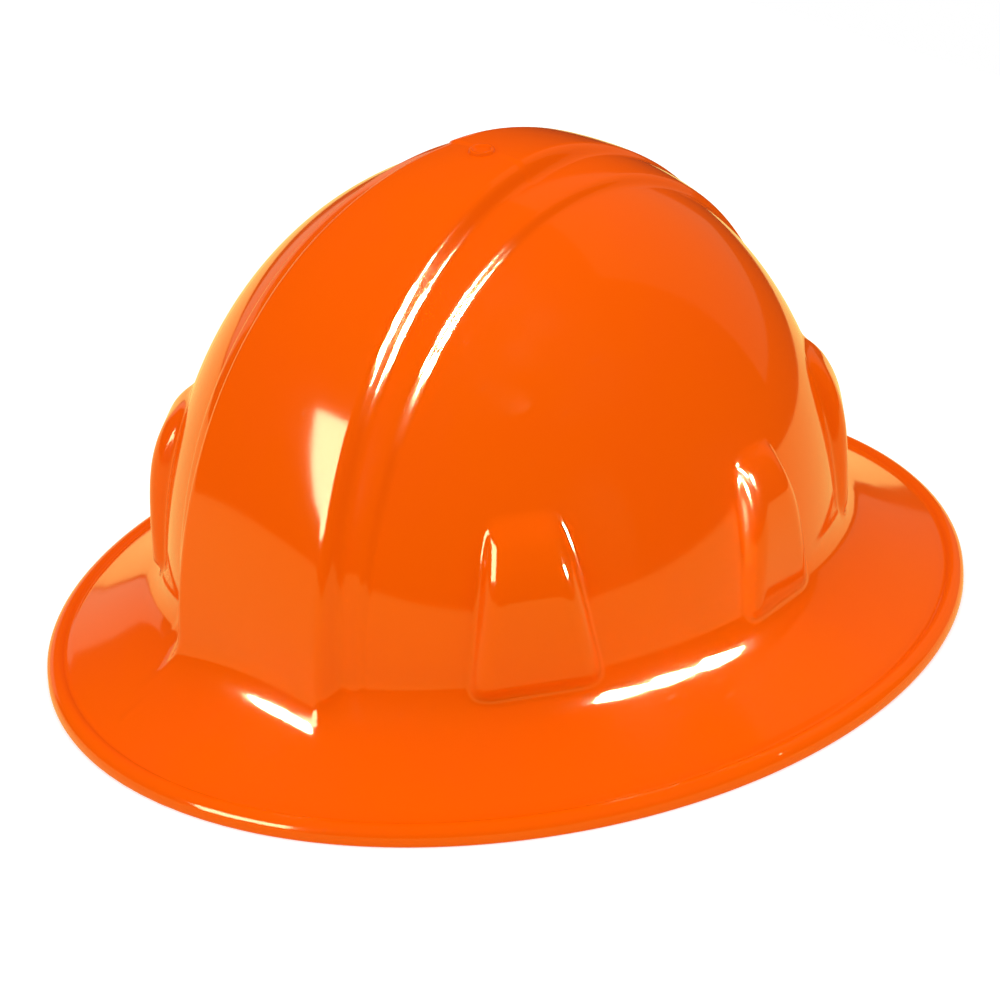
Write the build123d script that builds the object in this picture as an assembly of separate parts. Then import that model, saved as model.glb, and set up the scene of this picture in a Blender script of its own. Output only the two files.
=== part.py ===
from build123d import *
import math
import os

os.makedirs("parts", exist_ok=True)

# Frame: +X is the front, +Y the wearer's left, +Z up.
# The origin is the centre of the brim outline, on the plane the brim rests on. Lengths are in mm.

# Shell sizes
rim_length_half = 162.6
rim_edge_height = 3.4
rim_edge_round = 1.2
rim_trim = 0.6
lip_width = 6.0
lip_height = 5.4
lip_groove_depth = 0.5
lip_groove_width = 1.6
brim_top_height = 27.2
brim_root_round = 4.0
brim_sag = 1.0
brim_wall = 2.6
shell_wall = 2.5
dome_length_half = 119.2
dome_width_half = 103.4
dome_height = 133.4
dome_power = 2.08
mid_rise_crown = 2.0
mid_rise_base = 0.6
crown_band_front = 121.0
crown_band_rear = 114.7
crown_band_height = 140.1
crown_band_power_front = 2.15
crown_band_power_rear = 1.98
crown_band_rise_rear = 1.2
crown_band_round = 1.4
gate_mark_radius = 3.6
gate_mark_depth = 0.4

# Half widths of the two raised bands, seen from above
band_reach = 128.0
band_waist_back = 50.0
crown_band_front_half = 32.4
crown_band_middle_half = 15.4
crown_band_waist_half = 10.8
crown_band_rear_half = 9.0
mid_band_front_half = 42.0
mid_band_middle_half = 31.1
mid_band_waist_half = 26.0
mid_band_rear_half = 22.0

# Key sockets standing off the shell: six, in three pairs
front_socket_angle = 48.0
middle_socket_angle = 101.0
rear_socket_angle = 142.0
front_socket_width = 44.0
side_socket_width = 40.0
front_socket_height = 56.0
side_socket_height = 51.0
socket_top_width = 22.0
socket_stand = 3.6
socket_lean = 6.0
socket_side_round = 4.5
socket_top_round = 3.5
socket_sink = 3.2
socket_depth = 26.0
pocket_width = 20.6
pocket_gap = 3.0
pocket_front_wall = 2.3
pocket_top = 38.5
pocket_mouth_low = 2.0
pocket_mouth_high = 18.0
pocket_bridge = 2.2
pocket_bridge_width = 28.0
pocket_bridge_top = 41.0

# Suspension keys
key_width = 20.0
key_thickness = 2.4
key_tab_top = 36.0
key_turn_low = 5.0
key_leaf_in = 15.6
key_leaf_width = 25.0
key_leaf_top = 49.0
key_bar_low = 17.0
key_bar_high = 24.0
key_slot_height = 2.6
key_slot_width = 21.6
stud_height = 44.2
stud_radius = 2.5
stud_head_radius = 4.6
stud_head_thickness = 1.4

# Webbing straps
strap_width = 20.0
strap_thickness = 1.2
strap_clear = 0.35
strap_tail = 15.0
strap_stack_gap = 0.7
strap_crown_x = -17.0
strap_crown_height = 127.0
strap_power = 1.75
crown_pad_radius = 28.0
crown_pad_thickness = 1.6
crown_pad_sag = 4.8

# Headband hoop
hoop_center_x = 2.0
hoop_length_half = 96.0
hoop_width_half = 79.0
hoop_thickness = 1.8
hoop_low = 31.0
hoop_high = 60.0
arm_low = 51.0
arm_start_x = -14.0
arm_end_y = 37.0
tab_width = 15.0
tab_thickness = 3.0
tab_top = 77.0
height_travel = 12.0
brow_thickness = 4.0
brow_clear = 0.65
brow_half_angle = 62.0
brow_low = 33.0

# Nape straps, temple pins and ratchet
nape_center_x = -21.0
nape_radius = 72.6
rack_thickness = 1.6
rack_low = 28.0
rack_high = 48.0
rack_overlap = 9.0
rack_strip_reach = 48.0
rack_tooth_depth = 1.3
rack_end_round = 9.0
tighten_travel = 12.0
pin_radius = 3.0
pin_running = 0.05
pin_eye_clear = 0.75
pin_head_radius = 6.0
pin_head_thickness = 1.6
pin_inner_play = 2.6
pin_side_play = 0.3
housing_half_width = 27.0
housing_wall = 3.4
housing_floor = 1.8
housing_clear = 0.45
housing_pad_clear = 0.35
cover_thickness = 2.6
cover_boss_radius = 9.0
cover_boss_height = 1.6
pinion_root_radius = 3.6
pinion_tip_radius = 5.0
pinion_teeth = 10
pinion_backlash_share = 0.12
shaft_running = 0.08
knob_radius = 18.5
knob_depth = 9.0
knob_clear = 0.6
knob_hollow_radius = 14.5
knob_hollow_depth = 3.6
knob_edge_round = 1.6
knob_lobe_radius = 2.2
knob_lobes = 12
shaft_radius = 3.0
screw_head_radius = 4.2
screw_head_depth = 1.6
nape_pad_thickness = 4.5
nape_pad_half_width = 31.0
nape_pad_half_height = 12.0
pawl_thickness = 0.9
pawl_outer_radius = 12.5
pawl_inner_radius = 7.0
screw_shank_radius = 1.3
screw_length = 7.0

# Sizes worked out from the ones above
crown_band_widths = [(band_reach, crown_band_front_half),
                     (band_reach / 2, (crown_band_front_half + crown_band_middle_half) / 2),
                     (0.0, crown_band_middle_half), (-band_waist_back, crown_band_waist_half),
                     (-band_reach, crown_band_rear_half)]
mid_band_widths = [(band_reach, mid_band_front_half),
                   (band_reach / 2, (mid_band_front_half + mid_band_middle_half) / 2),
                   (0.0, mid_band_middle_half), (-band_waist_back, mid_band_waist_half),
                   (-band_reach, mid_band_rear_half)]
socket_angles = {"front": front_socket_angle, "middle": middle_socket_angle, "rear": rear_socket_angle}
socket_base_widths = {"front": front_socket_width, "middle": side_socket_width, "rear": side_socket_width}
socket_heights = {"front": front_socket_height, "middle": side_socket_height, "rear": side_socket_height}
rack_middle = (rack_low + rack_high) / 2
pinion_pitch_radius = (pinion_root_radius + pinion_tip_radius) / 2 + rack_tooth_depth * 0.1
rack_pitch = 2 * math.pi * pinion_pitch_radius / pinion_teeth
leaf_outer = -key_leaf_in + key_thickness / 2
leaf_inner = -key_leaf_in - key_thickness / 2
strap_in_x = leaf_outer + strap_clear * 2 + strap_thickness * 1.5
strap_tail_x = leaf_outer + strap_clear + strap_thickness / 2
strap_back_x = leaf_inner - strap_clear - strap_thickness / 2
strap_start = key_leaf_top - key_thickness
brow_high = brim_top_height + stud_height - stud_head_radius - height_travel - brow_clear
rack_back_x = nape_center_x - nape_radius

pieces = {}


def direction(angle):
    return Vector(math.cos(math.radians(angle)), math.sin(math.radians(angle)), 0)


def upright_edges(solid):
    return [edge for edge in solid.edges() if abs((edge @ 1 - edge @ 0).Z) > edge.length * 0.999]


def curve_power(share, power):
    return max(0.0, share) ** (2.0 / power)


# Superelliptic quarter arc of the dome, from its base up to the crown
def dome_arc(length_half, height):
    points = []
    for step in range(13):
        angle = math.radians(90.0 * step / 12)
        radius = length_half * curve_power(math.cos(angle), dome_power)
        rise = height * curve_power(math.sin(angle), dome_power)
        points.append((radius, 0, brim_top_height + rise))
    return Spline(points, tangents=[(0, 0, 1), (-1, 0, 0)])


# A profile turned about the vertical, then narrowed across the width
def turned_oval(face):
    return scale(revolve(face, Axis.Z), by=(1, dome_width_half / dome_length_half, 1))


# Dome filled down to a floor, grown outward at its base and its crown
def dome_fill(grow_base, grow_crown, floor_z):
    base = dome_length_half + grow_base
    arc = dome_arc(base, dome_height + grow_crown)
    top = (0, 0, brim_top_height + dome_height + grow_crown)
    wire = Wire([arc, Line(top, (0, 0, floor_z)), Line((0, 0, floor_z), (base, 0, floor_z)),
                 Line((base, 0, floor_z), (base, 0, brim_top_height))])
    return turned_oval(Face(wire))


# Area between a width table's two mirrored edges, seen from above
def plan_prism(widths, inset):
    left = [(x, half - inset) for x, half in widths]
    right = [(x, -half + inset) for x, half in reversed(widths)]
    front_edge = Line(right[-1], left[0])
    rear_edge = Line(left[-1], right[0])
    wire = Wire([Spline(left), rear_edge, Spline(right), front_edge])
    floor_z = brim_top_height - brim_wall / 2
    return Pos(0, 0, floor_z) * extrude(Face(wire), amount=dome_height * 2, dir=(0, 0, 1))


# Side view of the crown band: the higher of its own arc and a step above the dome
def crown_band_solid(inset):
    points = []
    for step in range(37):
        angle = math.radians(180.0 * step / 36)
        along = math.cos(angle)
        up = math.sin(angle)
        reach = crown_band_front if along >= 0 else crown_band_rear
        power = crown_band_power_front if along >= 0 else crown_band_power_rear
        own = ((abs(along) / reach) ** power + (up / crown_band_height) ** power) ** (-1 / power)
        dome = ((abs(along) / dome_length_half) ** dome_power
                + (up / dome_height) ** dome_power) ** (-1 / dome_power)
        rise = mid_rise_base + (mid_rise_crown - mid_rise_base) * up
        floor = dome + rise + crown_band_rise_rear if along < 0 else own
        gap = (own - floor) / crown_band_round
        radius = (own + floor + crown_band_round * math.sqrt(gap * gap + 1)) / 2
        radius = radius - inset if along < 0 else own - inset
        points.append((radius * along, 0, brim_top_height + radius * up))
    arc = Spline(points, tangents=[(0, 0, 1), (0, 0, -1)])
    low = -shell_wall
    wire = Wire([arc, Line(points[-1], (points[-1][0], 0, low)),
                 Line((points[-1][0], 0, low), (points[0][0], 0, low)),
                 Line((points[0][0], 0, low), points[0])])
    slab = extrude(Face(wire), amount=crown_band_front / 2, both=True)
    band = slab & plan_prism(crown_band_widths, inset)
    tops = [edge for edge in band.edges() if edge.center().Z > brim_top_height + crown_band_height / 3]
    return band if inset else fillet(tops, crown_band_round)


def mid_band_solid():
    return dome_fill(mid_rise_base, mid_rise_crown, 0) & plan_prism(mid_band_widths, 0)


# Shell of dome and brim: one closed profile, its outside and its inside a wall apart
def shell_profile():
    lip_in = rim_length_half - lip_width
    middle_x = (dome_length_half + lip_in) / 2
    middle_z = (brim_top_height + lip_height) / 2 - brim_sag
    root = (dome_length_half, 0, brim_top_height)
    groove_in = (lip_in - lip_groove_width, 0, lip_height + lip_groove_depth)
    groove = (lip_in, 0, lip_height - lip_groove_depth)
    bead_top = (lip_in + lip_width / 3, 0, lip_height)
    bead_low = (rim_length_half - rim_edge_round, 0, rim_edge_height)
    rim_top = (rim_length_half, 0, rim_edge_height - rim_edge_round)
    rim_low = (rim_length_half, 0, -rim_trim)
    rim_in = (lip_in + lip_groove_width, 0, -rim_trim)
    under_low = (lip_in - lip_groove_width, 0, lip_height + lip_groove_depth - brim_wall * 1.15)
    under_middle = (middle_x, 0, middle_z - brim_wall * 1.15)
    under_root = (dome_length_half - shell_wall, 0, brim_top_height - brim_wall * 0.6)
    inner_base = (dome_length_half - shell_wall, 0, brim_top_height)
    crown_out = (0, 0, brim_top_height + dome_height)
    crown_in = (0, 0, brim_top_height + dome_height - shell_wall)
    edges = [dome_arc(dome_length_half, dome_height), Spline([root, (middle_x, 0, middle_z), groove_in]),
             Line(groove_in, groove), Spline([groove, bead_top, bead_low, rim_top]),
             Line(rim_top, rim_low), Line(rim_low, rim_in), Line(rim_in, under_low),
             Spline([under_low, under_middle, under_root]), Line(under_root, inner_base),
             dome_arc(dome_length_half - shell_wall, dome_height - shell_wall),
             Line(crown_in, crown_out)]
    face = Face(Wire(edges))
    corners = [vertex for vertex in face.vertices() if (Vector(root) - vertex.center()).length < shell_wall / 10]
    return face.fillet_2d(brim_root_round, corners)


# Place on the dome's base at an angle from the front, with the outward and sideways directions
def base_place(angle):
    radial = direction(angle)
    reach = 1 / math.sqrt((radial.X / dome_length_half) ** 2 + (radial.Y / dome_width_half) ** 2)
    point = radial * reach
    outward = Vector(point.X / dome_length_half ** 2, point.Y / dome_width_half ** 2, 0).normalized()
    return Plane(origin=Vector(point.X, point.Y, brim_top_height), x_dir=outward,
                 z_dir=Vector(0, 0, 1))


# In a socket's frame: local X is outward, local Y sideways, local Z up from the brim's top
def socket_block(spec):
    low_z = -socket_sink
    high_z = socket_heights[spec]
    lean = math.tan(math.radians(socket_lean))
    low_x = socket_stand - lean * low_z
    high_x = socket_stand - lean * high_z
    spread = (socket_base_widths[spec] - socket_top_width) / high_z
    low_y = (socket_base_widths[spec] - spread * low_z) / 2
    high_y = socket_top_width / 2
    low = Polyline([(low_x, -low_y, low_z), (low_x, low_y, low_z),
                    (low_x - socket_depth, low_y, low_z),
                    (low_x - socket_depth, -low_y, low_z)], close=True)
    high = Polyline([(high_x, -high_y, high_z), (high_x, high_y, high_z),
                     (high_x - socket_depth, high_y, high_z),
                     (high_x - socket_depth, -high_y, high_z)], close=True)
    block = Solid.make_loft([Wire(low.edges()), Wire(high.edges())], ruled=True)
    sides = [edge for edge in block.edges() if edge.center().X > high_x - lean * socket_depth / 2
             and abs(edge.center().Y) > high_y / 2 and abs(edge.center().Z - high_z / 2) < high_z / 3]
    block = fillet(sides, socket_side_round)
    tops = [edge for edge in block.edges() if abs(edge.center().Z - high_z) < high_z / 100
            and edge.center().X > high_x - socket_depth * 0.9]
    return fillet(tops, socket_top_round)


def tilted_plate(outer_x, thickness, width, low_z, high_z):
    lean = math.tan(math.radians(socket_lean))
    corners = [(outer_x - lean * low_z, 0, low_z), (outer_x - lean * high_z, 0, high_z),
               (outer_x - thickness - lean * high_z, 0, high_z),
               (outer_x - thickness - lean * low_z, 0, low_z)]
    face = Face(Wire(Polyline(corners, close=True).edges()))
    return extrude(face, amount=width / 2, both=True)


pocket_outer = socket_stand - pocket_front_wall


def pocket_cut():
    slot = tilted_plate(pocket_outer, pocket_gap, pocket_width, pocket_mouth_low, pocket_top)
    mouth = Pos(-socket_depth / 4, 0, (pocket_mouth_low + pocket_mouth_high) / 2) * Box(
        socket_depth / 2, pocket_width, pocket_mouth_high - pocket_mouth_low)
    return slot + mouth


def bridge_block():
    return tilted_plate(pocket_outer - pocket_gap, pocket_bridge, pocket_bridge_width,
                        pocket_mouth_high, pocket_bridge_top)


sockets = []
for spec, angle in socket_angles.items():
    sockets.append((spec, "left", base_place(angle)))
    sockets.append((spec, "right", base_place(-angle)))


# Suspension key: a tab in the pocket, a turn under the wall and a slotted leaf with its stud
def key_solid(reach):
    lean = math.tan(math.radians(socket_lean))
    gap = (pocket_gap - key_thickness) / 2
    outer_x = pocket_outer - gap
    inner_x = outer_x - key_thickness
    low = key_turn_low
    high = low + key_thickness
    corners = [(outer_x - lean * key_tab_top, 0, key_tab_top), (outer_x - lean * low, 0, low),
               (leaf_inner, 0, low), (leaf_inner, 0, key_leaf_top), (leaf_outer, 0, key_leaf_top),
               (leaf_outer, 0, high), (inner_x - lean * high, 0, high),
               (inner_x - lean * key_tab_top, 0, key_tab_top)]
    face = Face(Wire(Polyline(corners, close=True).edges()))
    wide_turn = [v for v in face.vertices() if abs(v.Z - low) < key_thickness / 10]
    face = face.fillet_2d(key_thickness * 1.4, wide_turn)
    tight_turn = [v for v in face.vertices() if abs(v.Z - high) < key_thickness / 10]
    face = face.fillet_2d(key_thickness * 0.4, tight_turn)
    clip = extrude(face, amount=key_width / 2, both=True)
    leaf_low = high + key_thickness
    leaf = Pos(-key_leaf_in, 0, (leaf_low + key_leaf_top) / 2) * Box(
        key_thickness, key_leaf_width, key_leaf_top - leaf_low)
    leaf = fillet(leaf.edges().filter_by(Axis.X), key_thickness)
    clip = clip + leaf
    for low_z in (key_bar_low - key_slot_height, key_bar_high):
        slot = Pos(-key_leaf_in, 0, low_z + key_slot_height / 2) * Box(
            key_thickness * 2, key_slot_width, key_slot_height)
        clip = clip - slot
    stud_end = reach - tab_thickness / 2 - pin_side_play
    stud = Plane(origin=(leaf_outer - key_thickness / 2, 0, stud_height), z_dir=(-1, 0, 0))
    length = -stud_end + leaf_outer - key_thickness / 2
    shaft = stud.location * Pos(0, 0, length / 2) * Cylinder(stud_radius, length)
    head = stud.location * Pos(0, 0, length + stud_head_thickness / 2) * Cylinder(
        stud_head_radius, stud_head_thickness)
    head = fillet(head.edges().sort_by(lambda e: e.center().X)[0], stud_head_thickness * 0.4)
    return clip + shaft + head


# Distance from a socket's place inward to the middle of the hoop's wall, as a local X
def hoop_reach(place):
    point = place.origin
    inward = place.x_dir * -1
    px = (point.X - hoop_center_x) / hoop_length_half
    py = point.Y / hoop_width_half
    dx = inward.X / hoop_length_half
    dy = inward.Y / hoop_width_half
    a = dx * dx + dy * dy
    b = 2 * (px * dx + py * dy)
    c = px * px + py * py - 1
    return -(-b - math.sqrt(b * b - 4 * a * c)) / (2 * a)


# Webbing end: in through the lower slot, up behind the bar and out again, its tail flat on the leaf
def strap_loop():
    turn_z = key_bar_low - strap_clear - strap_thickness / 2
    out_z = key_bar_high + strap_clear + strap_thickness / 2
    route = [(strap_in_x, strap_start), (strap_in_x, turn_z), (strap_back_x, turn_z),
             (strap_back_x, out_z), (strap_tail_x, out_z), (strap_tail_x, out_z + strap_tail)]
    half = strap_thickness / 2
    sides = {1: [], -1: []}
    for hand in sides:
        for index, (x, z) in enumerate(route):
            before = route[max(index - 1, 0)]
            after = route[min(index + 1, len(route) - 1)]
            steps = []
            for p, q in ((before, (x, z)), ((x, z), after)):
                length = math.hypot(q[0] - p[0], q[1] - p[1])
                if length:
                    steps.append((-(q[1] - p[1]) / length, (q[0] - p[0]) / length))
            if len(steps) == 1 or steps[0] == steps[1]:
                shift = steps[0]
            else:
                shift = (steps[0][0] + steps[1][0], steps[0][1] + steps[1][1])
            sides[hand].append((x + hand * half * shift[0], 0, z + hand * half * shift[1]))
    outline = sides[1] + sides[-1][::-1]
    face = Face(Wire(Polyline(outline, close=True).edges()))
    tight = strap_thickness * 0.3
    for index in range(1, len(route) - 1):
        for hand in sides:
            spot = Vector(sides[hand][index])
            before = Vector(route[index - 1][0], 0, route[index - 1][1])
            after = Vector(route[index + 1][0], 0, route[index + 1][1])
            inside = (spot - before).length + (spot - after).length
            other = Vector(sides[-hand][index])
            outside = (other - before).length + (other - after).length
            radius = tight if inside < outside else tight + strap_thickness
            near = face.vertices().sort_by(lambda v: (Vector(v.X, v.Y, v.Z) - spot).length)[0]
            face = face.fillet_2d(radius, [near])
    return extrude(face, amount=strap_width / 2, both=True)


# One half of a strap's run: superelliptic rise from a key's loop to the crown, as a list of sections
def strap_sections(place, crown, crown_side, flip):
    end = place.from_local_coords(Vector(strap_in_x, 0, strap_start))
    end_side = place.y_dir * (-1 if flip else 1)
    flat = Vector(end.X - crown.X, end.Y - crown.Y, 0)
    count = 9
    rows = []
    for step in range(count + 1):
        angle = math.radians(90.0 * step / count)
        out_share = math.sin(angle) ** (2 / strap_power)
        up_share = math.cos(angle) ** (2 / strap_power) if step < count else 0.0
        spot = crown + flat * out_share + Vector(0, 0, (end.Z - crown.Z) * (1 - up_share))
        rows.append((spot, out_share))
    sections = []
    for step, (spot, out_share) in enumerate(rows):
        if step == 0:
            along = flat.normalized()
        elif step == count:
            along = Vector(0, 0, -1)
        else:
            along = (rows[step + 1][0] - rows[step - 1][0]).normalized()
        side = crown_side * (1 - out_share) + end_side * out_share
        side = (side - along * side.dot(along)).normalized()
        up = side.cross(along).normalized()
        half_w = strap_width / 2
        half_t = strap_thickness / 2
        corners = [spot + side * half_w + up * half_t, spot - side * half_w + up * half_t,
                   spot - side * half_w - up * half_t, spot + side * half_w - up * half_t]
        sections.append(Wire(Polyline(corners, close=True).edges()))
    return sections


def strap_solid(start_place, end_place, crown_z):
    crown = Vector(strap_crown_x, 0, crown_z)
    chord = (end_place.origin - start_place.origin).normalized()
    crown_side = Vector(0, 0, 1).cross(chord)
    first = strap_half(start_place, crown, crown_side, chord * -1)
    second = strap_half(end_place, crown, crown_side, chord)
    strap = first + second
    for place in (start_place, end_place):
        strap = strap + place.location * strap_loop()
    return strap


def strap_half(place, crown, crown_side, outward):
    flip = place.y_dir.dot(crown_side) < 0
    sections = strap_sections(place, crown, crown_side, flip)
    return Solid.make_loft(sections, ruled=False)


# Crown pad: a round domed patch under the crossing
def crown_pad_solid(top_z):
    ball = (crown_pad_radius ** 2 + crown_pad_sag ** 2) / (2 * crown_pad_sag)
    half_sag = ball - math.sqrt(ball ** 2 - (crown_pad_radius / 2) ** 2)
    arc_out = ThreePointArc((0, 0, top_z), (crown_pad_radius / 2, 0, top_z - half_sag),
                            (crown_pad_radius, 0, top_z - crown_pad_sag))
    low = top_z - crown_pad_thickness
    arc_in = ThreePointArc((crown_pad_radius, 0, low - crown_pad_sag),
                           (crown_pad_radius / 2, 0, low - half_sag), (0, 0, low))
    wire = Wire([arc_out, Line((crown_pad_radius, 0, top_z - crown_pad_sag),
                               (crown_pad_radius, 0, low - crown_pad_sag)), arc_in,
                 Line((0, 0, low), (0, 0, top_z))])
    return Pos(strap_crown_x, 0, 0) * revolve(Face(wire), Axis.Z)


# Oval strip standing on its edge, its two faces at the given distances from the hoop's middle line
def oval_strip(out_grow, in_grow, low, high):
    big = Ellipse(hoop_length_half + out_grow, hoop_width_half + out_grow)
    small = Ellipse(hoop_length_half + in_grow, hoop_width_half + in_grow)
    ring = extrude(big - small, amount=high - low)
    return Pos(hoop_center_x, 0, low) * ring


def headband_solid(places):
    half = hoop_thickness / 2
    span = hoop_length_half * 4
    band = oval_strip(half, -half, hoop_low, hoop_high)
    band_end = nape_center_x - pin_radius * 2.3
    band = band - Pos(band_end - span / 2, 0, hoop_low) * Box(span, span, (arm_low - hoop_low) * 2)
    band = band - Pos(-span / 2, 0, hoop_high) * Box(span, arm_end_y * 2, span)
    for place in places:
        reach = hoop_reach(place)
        low = arm_low - brim_top_height
        high = tab_top - brim_top_height
        tab = Pos(reach, 0, (low + high) / 2) * Box(tab_thickness, tab_width, high - low)
        tops = [e for e in tab.edges().filter_by(Axis.X) if e.center().Z > (low + high) / 2]
        tab = fillet(tops, tab_width / 3)
        band = band + place.location * tab
    for place in places:
        reach = hoop_reach(place)
        slot_low = stud_height - height_travel - stud_radius - pin_side_play
        slot_high = stud_height + stud_radius + pin_side_play
        width = (stud_radius + pin_side_play) * 2
        run = slot_high - slot_low - width
        slot = Pos(reach, 0, (slot_low + slot_high) / 2) * Box(tab_thickness * 3, width, run)
        for end_z in (slot_low + width / 2, slot_high - width / 2):
            slot = slot + Pos(reach, 0, end_z) * Rot(0, 90, 0) * Cylinder(width / 2, tab_thickness * 3)
        band = band - place.location * slot
    hole = Plane(origin=(nape_center_x, -hoop_width_half * 2, rack_middle), z_dir=(0, 1, 0)).location * Pos(
        0, 0, hoop_width_half * 2) * Cylinder(pin_radius + pin_running, hoop_width_half * 4)
    return band - hole


def brow_pad_solid():
    outer_face = -hoop_thickness / 2 - brow_clear
    pad = oval_strip(outer_face, outer_face - brow_thickness, brow_low, brow_high)
    reach = hoop_length_half * 2
    angle = brow_half_angle
    wedge = Polyline([(0, 0, 0), tuple(direction(angle) * reach * 2), tuple(Vector(reach * 4, 0, 0)),
                      tuple(direction(-angle) * reach * 2)], close=True)
    prism = extrude(Face(Wire(wedge.edges())), amount=brow_high * 2, both=True)
    pad = pad & prism
    return fillet(upright_edges(pad), brow_thickness / 2.2)


def temple_pin_solid(hand):
    head_front = nape_center_x + pin_head_radius - hoop_center_x
    out_y = hoop_width_half * math.sqrt(1 - (head_front / hoop_length_half) ** 2)
    out_y = out_y + hoop_thickness / 2 + pin_side_play
    in_y = nape_radius - rack_thickness / 2 - pin_inner_play
    length = out_y - in_y
    shaft = Pos(0, 0, length / 2) * Cylinder(pin_radius, length)
    inner_head = Pos(0, 0, -pin_head_thickness / 2) * Cylinder(pin_head_radius, pin_head_thickness)
    outer_head = Pos(0, 0, length + pin_head_thickness / 2) * Cylinder(pin_head_radius, pin_head_thickness)
    pin = shaft + inner_head + outer_head
    ends = [e for e in pin.edges() if abs(e.center().Z - length / 2) > length / 2 + pin_head_thickness * 0.9]
    pin = fillet(ends, pin_head_thickness * 0.4)
    place = Plane(origin=(nape_center_x, in_y * hand, rack_middle), z_dir=(0, hand, 0))
    return place.location * pin


# Strip curved about the nape's centre: radii, heights, and angles measured from the rear centre
def nape_strip(in_radius, out_radius, low, high, from_angle, to_angle):
    ring = extrude(Circle(out_radius) - Circle(in_radius), amount=high - low)
    reach = out_radius * 2
    middle = (from_angle + to_angle) / 2
    corners = [(0, 0, 0)]
    for step in range(5):
        angle = from_angle + (to_angle - from_angle) * step / 4
        corners.append(tuple(direction(180 - angle) * reach))
    prism = extrude(Face(Wire(Polyline(corners, close=True).edges())), amount=high - low, both=True)
    return Pos(nape_center_x, 0, low) * (ring & prism)


# Rack strap: full height from the temple, then a toothed strip over or under the pinion
def rack_strap_solid(hand):
    in_radius = nape_radius - rack_thickness / 2
    out_radius = nape_radius + rack_thickness / 2
    strip_angle = math.degrees(rack_strip_reach / nape_radius)
    over_angle = math.degrees(rack_overlap / nape_radius)
    edge = pinion_pitch_radius + rack_tooth_depth / 2
    temple_angle = 90 + math.degrees(rack_end_round / nape_radius)
    body = nape_strip(in_radius, out_radius, rack_low, rack_high, strip_angle * hand, temple_angle * hand)
    if hand > 0:
        strip = nape_strip(in_radius, out_radius, rack_middle + edge, rack_high,
                           -over_angle, strip_angle + over_angle / 4)
    else:
        strip = nape_strip(in_radius, out_radius, rack_low, rack_middle - edge,
                           -strip_angle - over_angle / 4, over_angle)
    strap = body + strip
    pitch_angle = math.degrees(rack_pitch / nape_radius)
    count = int((strip_angle + over_angle) / pitch_angle) - 2
    tip = rack_pitch * 0.17
    foot = rack_pitch * (0.33 - pinion_backlash_share / 2)
    teeth = []
    for index in range(count):
        # the pinion has a tooth straight up, so a rack gap sits over the rear centre at rest
        angle = -over_angle + pitch_angle * 0.5 + pitch_angle * index
        angle = (round(angle / pitch_angle - 0.5) + 0.5) * pitch_angle
        root_z = edge + rack_tooth_depth * 0.2
        tip_z = edge - rack_tooth_depth
        face = Face(Wire(Polyline([(-foot, 0, root_z * hand), (foot, 0, root_z * hand),
                                   (tip, 0, tip_z * hand), (-tip, 0, tip_z * hand)], close=True).edges()))
        tooth = extrude(face, amount=rack_thickness * 0.46, both=True)
        tooth = Pos(0, -nape_radius, 0) * tooth
        tooth = Rot(0, 0, -90 - angle * hand) * tooth
        tooth = Pos(nape_center_x, 0, rack_middle) * tooth
        teeth.append(tooth)
    strap = strap + teeth
    hole = Plane(origin=(nape_center_x, 0, rack_middle), z_dir=(0, hand, 0)).location * Pos(
        0, 0, nape_radius) * Cylinder(pin_radius + pin_eye_clear, nape_radius / 2)
    return strap - hole


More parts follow.
